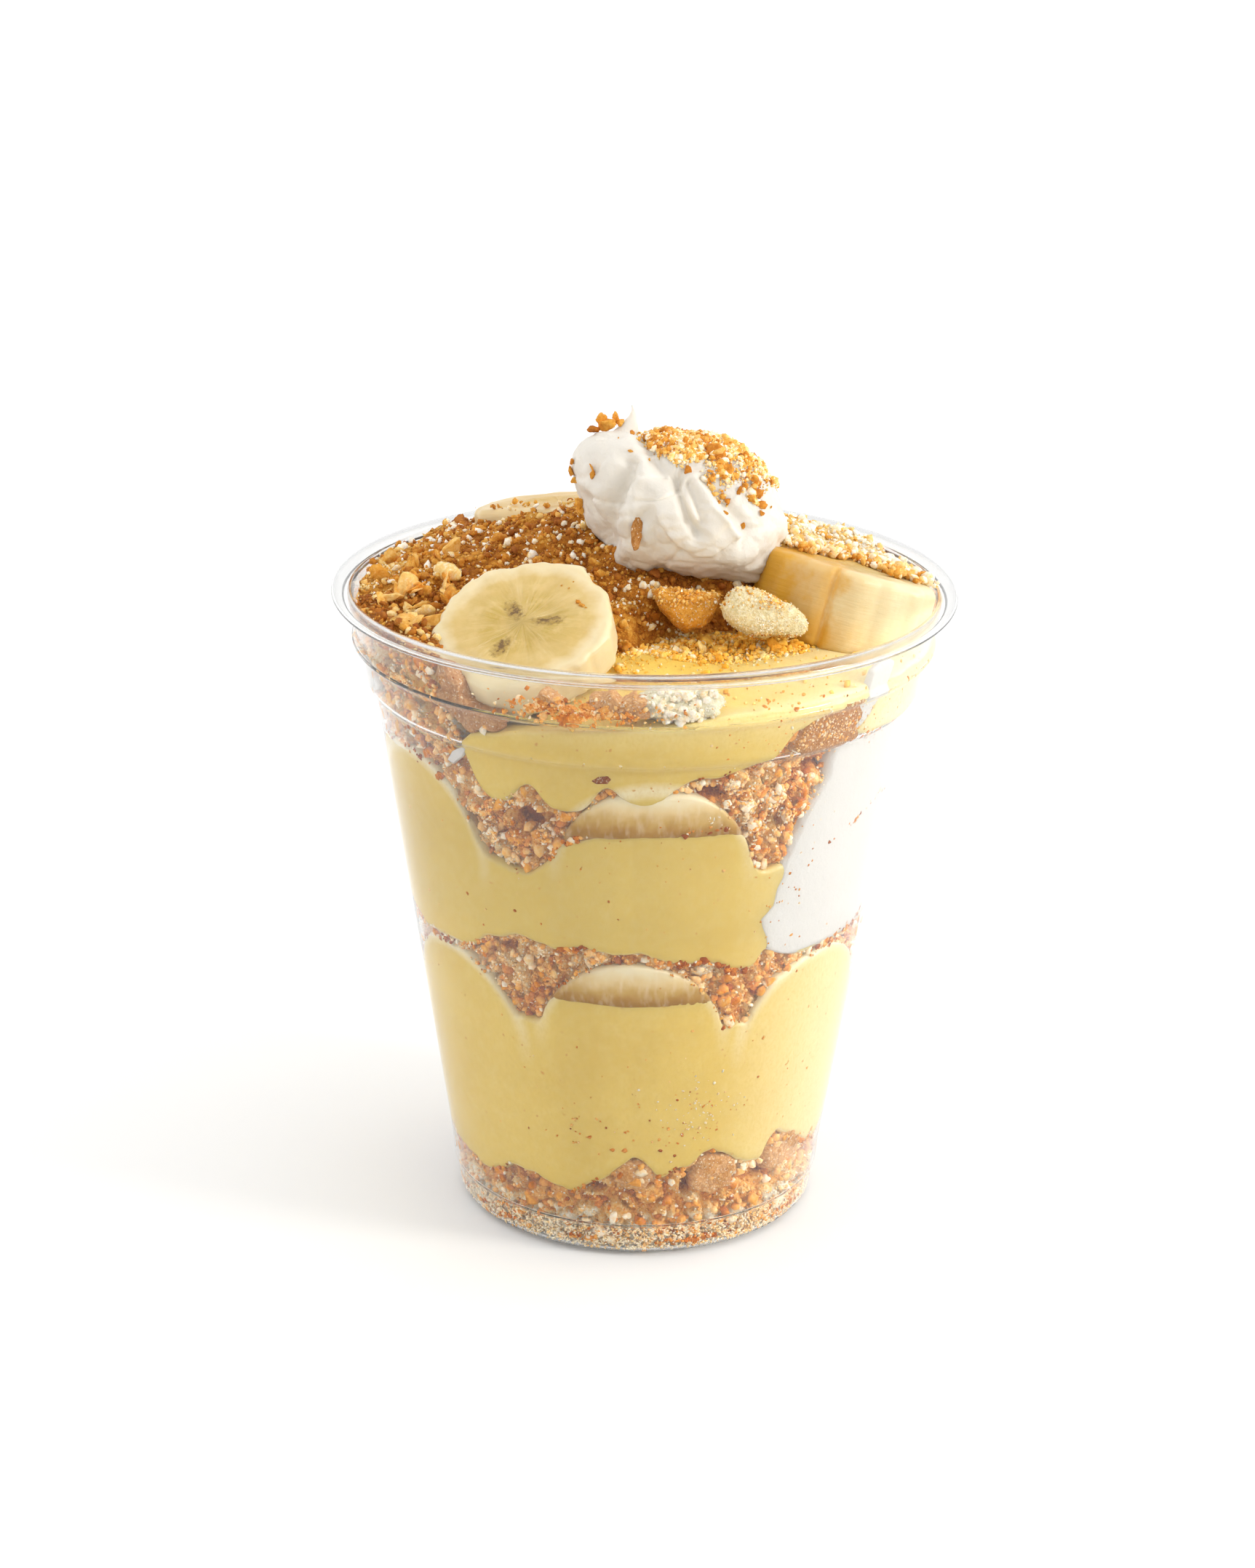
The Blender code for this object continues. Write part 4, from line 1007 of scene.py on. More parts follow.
def make_upper_crumbs():
    draw = np.random.default_rng(7)
    fill("upper_crumbs_packed", "crumb_upper", upper_line(ANGLES) - 1.0,
         np.maximum(lobe_line(ANGLES), upper_line(ANGLES)) + 0.8, 76.0, 80.0, rows=24, packed=True)

    def clear_of_slices(angle, height):
        clear = (angle <= 44) | (angle >= 100)
        for middle, centre in UP_SLICES.values():
            across = np.radians(fold(angle - middle)) * inner(height)
            clear &= across ** 2 + (height - centre) ** 2 > (UP_RADIUS - 0.2) ** 2
        return clear

    body, dust = clumps(draw, PALE_LUMPS)
    wall_crumbs(draw, "upper_crumbs", "crumb_upper", [
        *wall_layer(draw, upper_line, lobe_line, [
            (7000, FINE, 0.14, 0, 0.64), (700, COARSE, 0.16, 1, 0.52), (30, LARGE, 0.2, 2, 0.5),
        ], clear_of_slices),
        (body, 0.74), (dust, 0.8),
        (edge_grains(draw, 260, (0.2, 0.6), lobe_line), 0.28),
        (edge_grains(draw, 320, (0.2, 0.7), upper_line), 0.28),
    ])


def make_custards():
    fill("custard_low", "custard_lower", base_line(ANGLES) - 0.2, low_custard_top(ANGLES) + 0.1, 14.0, 49.0,
         rows=26, packed=False)
    fill("custard_mid", "custard_middle", middle_line(ANGLES) - 0.2, upper_line(ANGLES) + 0.1, 54.0, 76.0,
         rows=26, packed=False)


# Food on top
# How far out the heap's foot lies, as a share of the way to the wall, by angle
HEAP_FOOT = [
    (-180, 0.985), (-48, 0.985), (-36, 0.84), (-24, 0.62), (-10, 0.46), (0, 0.36), (14, 0.29),
    (34, 0.27), (52, 0.31), (75, 0.62), (100, 0.985), (180, 0.985),
]
HEAP_PEAK = (-7.0, 9.0, 113.2)
TOP_RADIUS = inner(97.0)  # of the pudding's top
HEAP_ROWS = 84
# Over this share the heap is taken to reach the wall
FOOT_AT_WALL = 0.78
# Bananas on top: centre, axis, radii across and back, thickness, rounding of the edge
TOP_SLICES = {
    "banana_slice_top": ((-17.6, -23.6, 101.2), (-0.17, -0.43, 0.89), (13.7, 13.5), 6.6, 1.0),
    "banana_chunk_right": ((30.5, -4.0, 101.0), (0.25, 0.17, 0.95), (13.6, 11.5), 12.8, 1.4),
    "banana_chunk_back": ((-13.6, 24.6, 103.0), (-0.10, 0.16, 0.98), (13.8, 13.0), 12.4, 1.4),
}


def in_disc(node, x, y):
    """Depth inside the outline of a slice seen from above, and heights of its two faces."""
    centre, axis, radii, thickness, _ = TOP_SLICES[node]
    right, back, up = disc_frame(axis)
    across, deep = x - centre[0], y - centre[1]
    middle = centre[2] - (up[0] * across + up[1] * deep) / up[2]
    spot = np.stack([across, deep, middle - centre[2]], -1)
    edge = 1.0 - np.hypot(spot @ right / radii[0], spot @ back / radii[1])
    return edge, middle - thickness / 2 / up[2], middle + thickness / 2 / up[2]


def off_slices(spots):
    """Which grains lie outside the slices."""
    clear = np.ones(len(spots), bool)
    for node in TOP_SLICES:
        edge, under, over = in_disc(node, spots[:, 0], spots[:, 1])
        clear &= (edge < -0.02) | (spots[:, 2] < under + 0.2) | (spots[:, 2] > over + 0.1)
    return clear


def heap_foot(angle):
    return eased(HEAP_FOOT, fold(angle))


def heap_height(x, y):
    """The heap's height without its crumbs: one peak, and a low mound behind the right chunk."""
    across = x - HEAP_PEAK[0]
    deep = y - HEAP_PEAK[1]
    across = across * np.where(across > 0, 0.8, 1.0)
    deep = deep * np.where(deep < 0, 1.3, 1.0)
    away = np.sqrt(across ** 2 + deep ** 2 + 25.0) - 5.0
    rise = np.maximum(0.0, 1.0 - away / 33.0) ** 1.25
    mound = np.hypot(x - 27.0, y - 26.0) / 11.0
    return mix(101.5, HEAP_PEAK[2], rise) + 3.0 * np.exp(-mound ** 2)


def heap_relief(x, y):
    flat = np.stack([x, y, np.zeros_like(x)], -1)
    return 1.0 * noise(flat, 5.5, 41) + 0.8 * noise(flat, 2.4, 42) + 0.55 * noise(flat, 1.2, 43)


def pudding_top(angle, share):
    return settle(97.6, line(TOP_LINE, angle), share)


def custard_surface(angle, share):
    """Height of the top custard, where share 1 is the wall."""
    spots = point_at(angle, share * TOP_RADIUS, 0.0)
    swell = 0.8 * noise(spots, 9.0, 51) + 0.3 * noise(spots, 3.5, 52)
    return np.minimum(pudding_top(angle, share) + swell * smoothstep(0.0, 0.3, 1.0 - share), 98.6)


def heap_top(angle, share):
    """Height of the heap, where share 1 is its foot."""
    reach = share * heap_foot(angle)
    spot = point_at(angle, reach * inner(100.0), 0.0)
    x, y = spot[..., 0], spot[..., 1]
    height = heap_height(x, y) + heap_relief(x, y)
    floor = custard_surface(angle, reach)
    open_foot = smoothstep(0.97, 0.85, heap_foot(angle))
    height = mix(height, floor + 0.3, open_foot * smoothstep(0.62, 1.0, share))
    for node in TOP_SLICES:
        edge, under, _ = in_disc(node, x, y)
        height = np.where(height > under, mix(height, under, smoothstep(-0.03, 0.05, edge)), height)
    return np.maximum(height, floor - 0.3 + 1.2 * (1.0 - open_foot))


def make_top_custard():
    low = lobe_line(ANGLES)
    wall = wall_rows(low, np.maximum(top_line(ANGLES), low + 0.6), 0.2, 1.0, 18)
    rings = []
    for share in np.linspace(0.05, 0.97, 34):
        height = mix(custard_surface(ANGLES, share), wall[0, :, 2], smoothstep(0.88, 0.99, share))
        rings.append(point_at(ANGLES, share * inner(height), height))
    rings += list(wall) + surface_rings(80.0, wall[-1, :, 2], SHARES)
    verts, faces = closed_rings(rings, (0, 0, rings[0][:, 2].mean()), (0, 0, 80.0))
    make_object("custard_upper", verts, faces, CUSTARD, ["custard_top"])


def pale_place(spots):
    """Tone shift over the heap: paler at the back right, where pale cake crumbs lie and painted light falls from
    the right; paler at the far left; darker at the front left, painted shade on the side away from the light.
    """
    right = smoothstep(6.0, 20.0, spots[:, 0]) * smoothstep(0.0, 12.0, spots[:, 1])
    left = smoothstep(-30.0, -38.0, spots[:, 0]) * smoothstep(-8.0, 4.0, spots[:, 1])
    brown = smoothstep(-20.0, -31.0, spots[:, 0]) * smoothstep(0.0, -12.0, spots[:, 1])
    return 0.5 * right + 0.2 * left - 0.2 * brown


def make_heap():
    draw = np.random.default_rng(11)
    angles = ANGLES[::2]
    reach = heap_foot(angles)
    rings = []
    for share in np.linspace(0.02, 1.0, HEAP_ROWS):
        height = heap_top(angles, share)
        rings.append(point_at(angles, np.minimum(share * reach * inner(height), inner(height) - 0.5), height))
    top = rings[-1][:, 2]
    foot = np.minimum(pudding_top(angles, reach), top - 0.3)
    for rise in np.linspace(0.92, 0.0, 13):
        height = mix(foot, top, rise)
        packed = inner(height) + 0.1 - crumb_recess(angles, height)
        rings.append(point_at(angles, mix(reach * inner(height), packed, smoothstep(0.9, 0.98, reach)), height))
    rings.append(point_at(angles, 0.4 * reach * TOP_RADIUS, np.full(len(angles), 96.5)))
    verts, faces = closed_rings(rings, (0, 0, rings[0][:, 2].mean()), (0, 0, 96.5))
    lump, _ = lumps(verts)
    # painted shade: paler on the heap's bumps and darker in its hollows, with pale_place's painted light and shade
    # over it
    tone = 0.24 + 0.12 * heap_relief(verts[:, 0], verts[:, 1]) + 0.3 * (lump - 0.5) + pale_place(verts)
    side = np.arange(len(verts)) >= HEAP_ROWS * len(angles)
    tone = np.where(side, core_tone(verts) + 0.1, tone)
    make_object("crumb_heap_packed", verts, faces, TOP_CORE, ["crumb_heap"], tone=tone)

    def scatter(count, sizes, sink, level, middle, pale):
        angle = draw.uniform(-180, 180, count)
        share = np.sqrt(draw.uniform(0, 1.0, count))
        # even cover: the heap reaches less far at the front
        keep = draw.uniform(0, 1, count) < heap_foot(angle) ** 2
        angle, share = angle[keep], share[keep]
        size = crumb_sizes(draw, len(angle), sizes, 1.8)
        height = heap_top(angle, share)
        radius = np.minimum(share * heap_foot(angle) * inner(height), inner(height) - size * 0.6)
        centre = point_at(angle, radius, height + sink * size)
        clear = off_slices(centre)
        group = grains(draw, centre[clear], size[clear], level, press=0.12)
        tone = grain_tones(draw, group[3], middle, 0.15, pale=pale) + pale_place(group[3])
        return *group[:3], tone

    crumb_piece("heap_fine_crumbs", TOP_CRUMB, ["crumb_heap"], [scatter(23000, (0.16, 0.42), 0.25, 0, 0.40, 0.12)])
    crumb_piece("heap_crumbs", TOP_CRUMB, ["crumb_heap"], [
        scatter(4600, (0.36, 0.8), 0.3, 1, 0.36, 0.22), scatter(260, (0.8, 1.4), 0.15, 2, 0.34, 0.1),
        scatter(24, (1.5, 2.4), -0.1, 3, 0.34, 0.1),
    ])

    # where the heap doesn't reach the wall, the upper line lies under the lower one, so nothing fits between
    def heap_low(angle):
        return np.where(heap_foot(angle) > FOOT_AT_WALL, pudding_top(angle, 1.0), 200.0)

    def heap_high(angle):
        return np.where(heap_foot(angle) > FOOT_AT_WALL, heap_top(angle, 1.0) - 0.5, 0.0)

    def beside_slice(angle, height):
        return (angle > 20.0) | (angle < -39.5 + 1.4 * (97.0 - height))

    wall_crumbs(draw, "heap_wall_crumbs", "crumb_heap", wall_layer(draw, heap_low, heap_high, [
        (6000, FINE, 0.16, 0, 0.6), (900, COARSE, 0.18, 1, 0.5), (60, LARGE, 0.2, 2, 0.42),
    ], beside_slice))


def make_shards():
    """Flat golden bits of crust on the heap at the left."""
    draw = np.random.default_rng(19)
    count = 40
    angle = draw.uniform(-100, -56, count)
    share = draw.uniform(0.66, 0.93, count)
    centre = point_at(angle, share * inner(100.0), heap_top(angle, share) + 0.7)
    centre = centre[off_slices(centre)]
    size = draw.uniform(1.4, 3.0, len(centre))
    verts, faces, each, _ = grains(draw, centre, size, 3, 0.35, flat=0.3, press=0.16)
    pale = draw.uniform(0, 1, len(centre)) < 0.4
    tone = np.clip(draw.normal(np.where(pale, 0.72, 0.48), 0.07), 0, 1)
    make_object("crust_shards", verts, faces, TOP_CRUMB, ["wafer_shard_left"], tone=np.repeat(tone, each))


# Banana
def make_disc(name, node, crack=None):
    """A banana slice or chunk on top. A crack is its angle, its depth and its width in degrees."""
    centre, axis, radii, thickness, rounding = TOP_SLICES[node]
    right, back, up = disc_frame(axis)
    turn = turns(168)
    half = thickness / 2

    def ring(share, height, inset):
        uneven = 1.0 + 0.03 * np.cos(5.0 * turn) + 0.006 * np.sin(11 * turn)
        across = (radii[0] * uneven - inset) * share * np.sin(turn)
        deep = -(radii[1] * uneven - inset) * share * np.cos(turn)
        spot = np.array(centre) + np.outer(across, right) + np.outer(deep, back)
        out = np.outer(np.sin(turn), right) - np.outer(np.cos(turn), back)
        notch = 0.45 * noise(spot, 2.6, 62) + 0.26 * noise(spot * (1.0, 1.0, 2.2), 1.4, 63)
        spot = spot + (notch * smoothstep(0.7, 1.0, share))[:, None] * out
        lift = height + 0.3 * noise(spot, 3.0, 61) * (1 if height > 0 else 0)
        if crack is not None:
            at, depth, wide = crack
            near = np.exp(-(fold(np.degrees(turn) - at) / wide) ** 2)
            spot -= (near * depth * smoothstep(0.6, 1.0, share))[:, None] * out
        return spot + np.outer(lift, up)

    rings = [ring(share, half, rounding) for share in np.linspace(0.04, 1.0, 30)]
    for tilt in np.linspace(0.15, 1.0, 6) * math.pi / 2:
        rings.append(ring(1.0, half - rounding * (1 - math.cos(tilt)), rounding * (1 - math.sin(tilt))))
    rings += [ring(1.0, height, 0.0) for height in np.linspace(half - rounding, rounding - half, 14)[1:]]
    for tilt in np.linspace(0.2, 1.0, 5) * math.pi / 2:
        rings.append(ring(1.0, -half + rounding * (1 - math.sin(tilt)), rounding * (1 - math.cos(tilt))))
    rings.append(ring(0.3, -half, rounding))
    verts, faces = closed_rings(rings)
    make_object(name, verts, faces, banana_paint(name + "_flesh", node), [node])


def make_bananas():
    make_disc("banana_round", "banana_slice_top")
    make_disc("banana_piece_right", "banana_chunk_right", crack=(-12.0, 1.4, 1.2))
    make_disc("banana_piece_back", "banana_chunk_back")


def make_wall_slice(name, slices, radius, contact, cover, mat):
    """Slice standing against the wall, touching it between two heights over its centre."""
    angle, height = slices[name]
    press = 0.16 if name.endswith(("_front", "_back")) else -0.4
    turn = turns(72)

    def ring(share, inset):
        up = -radius * share * np.cos(turn)
        turned = angle + np.degrees(radius * share * np.sin(turn) / inner(height))
        behind = 0.25 * np.maximum(0.0, contact - up) + 0.5 * np.maximum(0.0, up - cover)
        return point_at(turned, inner(height + up) + press - inset - behind, height + up), up - contact

    parts = [ring(share, 0.0) for share in np.linspace(0.05, 0.94, 16)]
    parts += [ring(0.97, 0.1), ring(0.99, 0.3), ring(1.0, 0.9), ring(1.0, 7.0), ring(0.5, 7.3)]
    verts, faces = closed_rings([part[0] for part in parts])
    # tone: painted shadow, darkest along the line where the custard meets the slice and paler over 6 mm above it
    above = np.array([part[1] for part in parts]).ravel()
    tone = np.append(np.clip(above / 6.0, 0.0, 1.0), [0.0, 0.0])
    make_object("banana_" + name, verts, faces, mat, [name], tone=tone)


def make_wall_slices():
    paint = Paint("banana_at_wall", 0.45)
    patches = paint.noise(2.6, 4.0)
    # painted shadow: dark brown at the contact line with the custard, pale cream higher up
    paint.colour = paint.ramp(paint.attribute("tone") + patches.scaled(0.5, -0.25), [
        (0.0, (0.37, 0.175, 0.017)), (0.14, (0.45, 0.23, 0.030)), (0.36, (0.60, 0.375, 0.095)),
        (0.65, (0.79, 0.60, 0.29)), (1.0, (0.88, 0.76, 0.50)),
    ])
    paint.coat((0.90, 0.80, 0.62), paint.noise(1.0, 3.0, stretch=(1.0, 1.0, 0.3)), [(0.5, 0.0), (0.8, 0.35)])
    mat = paint.finish((patches, 0.3, 0.3), sunk=(0.4, (2.0, 1.4, 0.8)))
    for name in LOW_SLICES:
        make_wall_slice(name, LOW_SLICES, LOW_RADIUS, 7.6, LOW_RADIUS, mat)
    for name in UP_SLICES:
        make_wall_slice(name, UP_SLICES, UP_RADIUS, 7.4, 13.4, mat)


# Wafers
def wafer_paint(name, skin, crumb, dusty):
    """Baked skin, with sandy crumb on it."""
    paint = Paint(name, 0.7)
    coarse = paint.noise(2.2, 4.0, 0.65)
    fine = paint.noise(0.55, 3.0, 0.7)
    paint.colour = paint.ramp(coarse, [(0.3, tuple(c * 0.74 for c in skin)), (0.7, skin)])
    paint.coat(crumb, fine, [(0.46, 0.0), (0.62, dusty)])
    paint.coat((0.93, 0.84, 0.66), paint.noise(0.35, 1.0), [(0.62, 0.0), (0.7, 0.7)])
    return paint.finish((coarse, 0.4, 0.5), (fine, 0.8, 0.35), sunk=(0.15, (1.2, 0.7, 0.3)), Specular_IOR_Level=0.3)


def sprinkle(draw, verts, count, sizes, level, middle, sink=0.2, spread=0.14):
    """Crumbs stuck all over a piece."""
    size = crumb_sizes(draw, count, sizes, 1.6)
    spots = verts[draw.integers(0, len(verts), count)]
    away = unit(spots - verts.mean(0))
    centres = spots + away * (sink * size)[:, None] + draw.normal(0.0, 0.08, (count, 3))
    group = grains(draw, centres, size, level, press=0.26)
    return *group[:3], np.clip(draw.normal(middle, spread, count), 0, 1)


def polar(outline, columns, spread=1.5):
    """Reach round an outline from its middle point, with soft corners."""
    table = np.array(outline, float)
    turn = np.degrees(np.arctan2(table[:, 1], table[:, 0]))
    order = np.argsort(turn)
    fine = []
    table = np.concatenate([table[order], table[order[:1]]])
    for first, second in zip(table, table[1:]):
        for share in np.linspace(0, 1, 12)[:-1]:
            fine.append(mix(first, second, share))
    fine = np.array(fine)
    angle = np.degrees(np.arctan2(fine[:, 1], fine[:, 0]))
    reach = np.hypot(fine[:, 0], fine[:, 1])
    order = np.argsort(angle)
    points = soft_line(np.stack([angle[order], reach[order]], -1), spread)
    return line(points, np.arange(columns) * 360.0 / columns)


def slab(centre, outline, thick, seed, relief, square=4.0, grit=0.12, columns=128, rows=40, spread=1.5):
    """Solid whose outline is given across and up in the picture, from its centre."""
    turn = turns(columns)
    reach = polar(outline, columns, spread)
    level = np.linspace(0.0, math.pi, rows + 2)[1:-1, None]
    flat = np.abs(np.sin(level)) ** (2.0 / square)
    deep = np.sign(np.cos(level)) * np.abs(np.cos(level)) ** (2.0 / square) * thick
    across = flat * reach * np.cos(turn)
    rise = flat * reach * np.sin(turn)
    way = across[..., None] * RIGHT + rise[..., None] * UP - (deep + 0 * across)[..., None] * AHEAD
    long = np.linalg.norm(way, axis=-1, keepdims=True)
    bumps = relief * noise(way + seed, 2.0, seed) + grit * noise(way, 0.7, seed + 1)
    spots = np.array(centre) + way * (1.0 + bumps[..., None] / long)
    return closed_rings(spots)


def wall_patch(middle, level, outline, press, thick, soften, relief=0.0, seed=0, ragged=0.0):
    """Verts and faces of a piece pressed to the wall, its outline in mm along it and up."""
    columns = 96
    turn = turns(columns)
    reach = polar(outline, columns)
    if ragged:
        edge = np.stack([reach * np.cos(turn), reach * np.sin(turn), 0 * turn], -1)
        reach = reach * (1.0 + ragged * (noise(edge, 1.5, seed + 50) + 0.6 * noise(edge, 0.6, seed + 51)))

    def ring(share, depth):
        height = level + share * reach * np.sin(turn)
        angle = middle + np.degrees(share * reach * np.cos(turn) / inner(level))
        rough = relief * (0.5 + 0.5 * round_noise(angle, inner(height), height, 1.6, seed))
        return point_at(angle, inner(height) + press - depth - rough, height)

    rings = [ring(share, 0.0) for share in np.linspace(0.06, 0.8, 14)]
    for tilt in np.linspace(0.1, 1.0, 6) * math.pi / 2:
        rings.append(ring(0.8 + 0.2 * math.sin(tilt), soften * (1.0 - math.cos(tilt))))
    rings += [ring(0.98, thick * 0.8), ring(0.6, thick)]
    return closed_rings(rings)


# Outlines of wafers in the picture: across and up from the middle
BROWN_OUTLINE = [
    (-5.1, 3.1), (-1.9, 3.4), (1.9, 3.0), (5.1, 2.4), (4.9, 0.8), (4.3, -0.9), (2.5, -2.8),
    (0.1, -3.3), (-1.9, -1.9), (-4.0, 0.4),
]
PALE_OUTLINE = [
    (-7.0, 1.6), (-6.2, 3.4), (-4.5, 4.4), (-1.4, 4.1), (0.9, 3.2), (3.4, 1.6), (5.5, 0.1),
    (6.0, -1.6), (5.5, -2.7), (3.5, -3.1), (-1.6, -2.9), (-4.4, -1.9), (-6.4, -0.4),
]
FRONT_OUTLINE = [
    (-5.6, 0.6), (-3.7, 1.9), (0.3, 2.2), (3.9, 1.9), (5.6, 0.4), (4.9, -1.6), (2.5, -2.7), (-0.7, -2.8),
    (-4.4, -1.8),
]
# Pieces of wafer at the wall: angle and height of the middle, and outline along the wall and up
WALL_WAFERS = {
    "wafer_base_front": (0.0, 14.9, [
        (-3.4, 0.8), (-2.4, 2.4), (0.4, 3.2), (3.0, 1.8), (3.4, -0.6), (2.0, -2.6), (-1.6, -2.8), (-3.4, -1.4),
    ]),
    "wafer_base_right": (24.0, 13.8, [
        (-4.2, 0.4), (-3.0, 3.6), (-0.4, 4.0), (3.2, 3.4), (4.4, 0.6), (3.4, -2.6), (0.4, -3.8), (-3.2, -2.2),
    ]),
    "wafer_base_side": (51.0, 14.6, [
        (-5.0, 0.0), (-3.4, 2.6), (-0.2, 4.0), (3.4, 3.2), (5.2, 0.8), (4.2, -2.6), (0.4, -3.4), (-4.0, -2.4),
    ]),
    "lump_front": (-4.4, 97.2, [
        (-4.4, -0.6), (-3.6, 1.4), (-1.2, 2.0), (0.4, 1.2), (2.6, 2.2), (4.6, 1.0), (4.0, -1.2), (1.8, -2.4),
        (-1.4, -1.6),
    ]),
    "lump_left": (-18.6, 97.6, [(-1.8, -0.4), (-0.8, 1.2), (1.2, 1.0), (2.0, -0.4), (0.4, -1.2)]),
    "lump_shoulder": (-37.5, 92.5, [
        (-4.2, 0.1), (-3.9, 7.1), (-2.2, 7.6), (-0.3, 4.2), (1.9, 2.2), (4.5, 1.2), (6.6, 0.7), (6.2, -0.1),
        (4.4, -1.3), (2.3, -2.5), (-0.5, -2.5),
    ]),
    "wafer_wall": (40.0, 91.0, [
        (-7.6, -1.4), (-5.6, 1.6), (-1.4, 3.6), (3.2, 4.8), (6.4, 4.0), (7.2, 0.6), (6.0, -3.2), (0.6, -4.2),
        (-5.4, -3.8),
    ]),
}


def make_wafers():
    draw = np.random.default_rng(23)
    brown = wafer_paint("wafer_baked", (0.82, 0.34, 0.030), (0.90, 0.52, 0.13), 0.4)
    pale = wafer_paint("wafer_open", (0.90, 0.73, 0.38), (0.96, 0.88, 0.64), 0.7)
    cake = wafer_paint("cake_at_wall", (0.98, 0.88, 0.58), (0.99, 0.94, 0.76), 0.7)
    sugar = []
    for node, centre, outline, thick, rough, mat, slot, count, tone in (
        ("wafer_brown", (6.4, -13.6, 102.8), BROWN_OUTLINE, 3.4, 0.4, brown, "wafer", 300, 0.5),
        ("wafer_pale", (18.6, -18.0, 103.4), PALE_OUTLINE, 3.0, 0.4, pale, "wafer_crumb", 2400, 0.88),
        ("wafer_front", (5.4, -40.7, 96.9), FRONT_OUTLINE, 3.0, 1.5, cake, "wafer_crumb", 2400, 0.97),
    ):
        verts, faces = slab(centre, outline, thick, 5, relief=rough, grit=0.4 * rough, spread=0.7)
        press_to_wall(verts, 0.2)
        make_object("piece_" + node, verts, faces, mat, [node])
        sugar.append(sprinkle(draw, verts, count, (0.09, 0.20), 0, tone, sink=0.0, spread=0.05))
        rise = verts @ UP
        if node == "wafer_brown":
            sugar.append(sprinkle(draw, verts[verts[:, 2] > 104.2], 300, (0.16, 0.42), 0, 0.6))
        elif node == "wafer_pale":
            sugar.append(sprinkle(draw, verts[rise > np.percentile(rise, 62)], 260, (0.14, 0.32), 0, 0.62))
            sugar.append(sprinkle(draw, verts[rise < np.percentile(rise, 8)], 160, (0.14, 0.36), 0, 0.42))
        else:
            sugar.append(sprinkle(draw, verts, 260, (0.3, 0.8), 1, tone, sink=0.1, spread=0.05))
    crumb_piece("wafer_sugar", TOP_CRUMB, (), sugar)
    at_wall = wafer_paint("wafer_at_wall", (0.72, 0.32, 0.085), (0.88, 0.56, 0.25), 0.6)
    deep = wafer_paint("wafer_at_wall_right", (0.55, 0.235, 0.07), (0.70, 0.41, 0.19), 0.6)
    for seed, (name, (angle, height, outline)) in enumerate(WALL_WAFERS.items()):
        nodes, press, rough, ragged = [name], 0.24, 0.55, 0.12
        if name == "wafer_wall":
            press, rough = 0.34, 0.06
        if name.startswith("lump"):
            nodes, rough, ragged = (), 1.1, 0.3
        mat = deep if name in ("wafer_wall", "lump_shoulder") else at_wall
        verts, faces = wall_patch(angle, height, outline, press, 4.0, 1.6, rough, seed, ragged)
        make_object("piece_" + name, verts, faces, mat, nodes)
    outline = [(-1.7, -0.3), (-0.6, 0.5), (1.0, 0.8), (1.6, 0.2), (1.0, -0.7), (-0.8, -0.8)]
    verts, faces = wall_patch(-8.0, 85.2, outline, 0.26, 1.2, 0.4, ragged=0.1)
    chip = wafer_paint("brown_chip", (0.34, 0.09, 0.03), (0.55, 0.24, 0.08), 0.4)
    make_object("chip_at_wall", verts, faces, chip, ())


# Cream
# Left edge of the cream at the side: height and angle
CREAM_LEFT = [
    (51.8, 42), (52.5, 38), (53, 35), (54.5, 31), (57, 29.6), (60, 28), (62, 31), (66, 32), (71, 34),
    (76, 37), (79, 40), (82, 42), (88, 43),
]


def make_side_cream():
    """Cream pressed to the wall: a grid at the wall, one behind it, and sides between them."""
    columns, rows = 64, 72
    low, high = 51.8, 88.0
    height = np.linspace(high, low, rows)[:, None]
    left = np.interp(height, *np.array(CREAM_LEFT).T)
    left = left + 0.6 * noise(np.concatenate([height, height * 0, height * 0], 1), 2.0, 71)[:, None]
    mid = (height - low) / (high - low)
    right = 95.0 - 24.0 * mid ** 6 - 10.0 * (1 - mid) ** 6
    angle = left + (right - left) * np.linspace(0.0, 1.0, columns)[None, :]
    height = height + 0 * angle
    wall = inner(height)
    near = np.minimum(np.radians(angle - left) * wall, np.radians(right - angle) * wall)
    near = np.minimum(near, np.minimum(high - height, height - low))
    front = point_at(angle, wall + 0.2 - edge_inset(near, 1.2), height)
    rear = point_at(angle, wall - 9.0, height)
    verts = np.concatenate([front.reshape(-1, 3), rear.reshape(-1, 3)])
    size = rows * columns
    grid = np.arange(size).reshape(rows, columns)
    here = grid[:-1, :-1].ravel()
    front_faces = np.stack([here, here + columns, here + columns + 1, here + 1], -1)
    rear_faces = np.stack([here, here + 1, here + columns + 1, here + columns], -1) + size
    rim = np.concatenate([grid[0], grid[1:, -1], grid[-1, -2::-1], grid[-2:0:-1, 0]])
    after = np.roll(rim, -1)
    sides = np.stack([rim, after, after + size, rim + size], -1)
    make_object("cream_at_side", verts, [front_faces, rear_faces, sides], CREAM, ["cream_side"])


# The spoonful of cream, with its outline, folds and crumbs across and up in the picture from its middle
DOLLOP_CENTRE = np.array((5.0, 1.0, 116.0))
DOLLOP_OUTLINE = [
    (-5.9, 10.1), (-3.4, 10.4), (0.6, 10.4), (5.7, 10.0), (8.4, 8.8), (11.7, 6.6), (15.0, 3.2),
    (15.7, 1.0), (16.5, -3.9), (16.7, -5.4), (15.7, -8.9), (14.0, -11.7), (11.7, -13.0), (5.7, -12.4),
    (0.1, -11.7), (-4.4, -11.7), (-6.9, -11.2), (-9.4, -9.9), (-10.4, -7.9), (-11.6, -6.4),
    (-12.6, -5.4), (-14.0, -3.4), (-15.2, -0.1), (-16.2, 2.7), (-16.4, 6.0), (-15.4, 8.8), (-12.8, 10.4),
    (-9.0, 10.9),
]
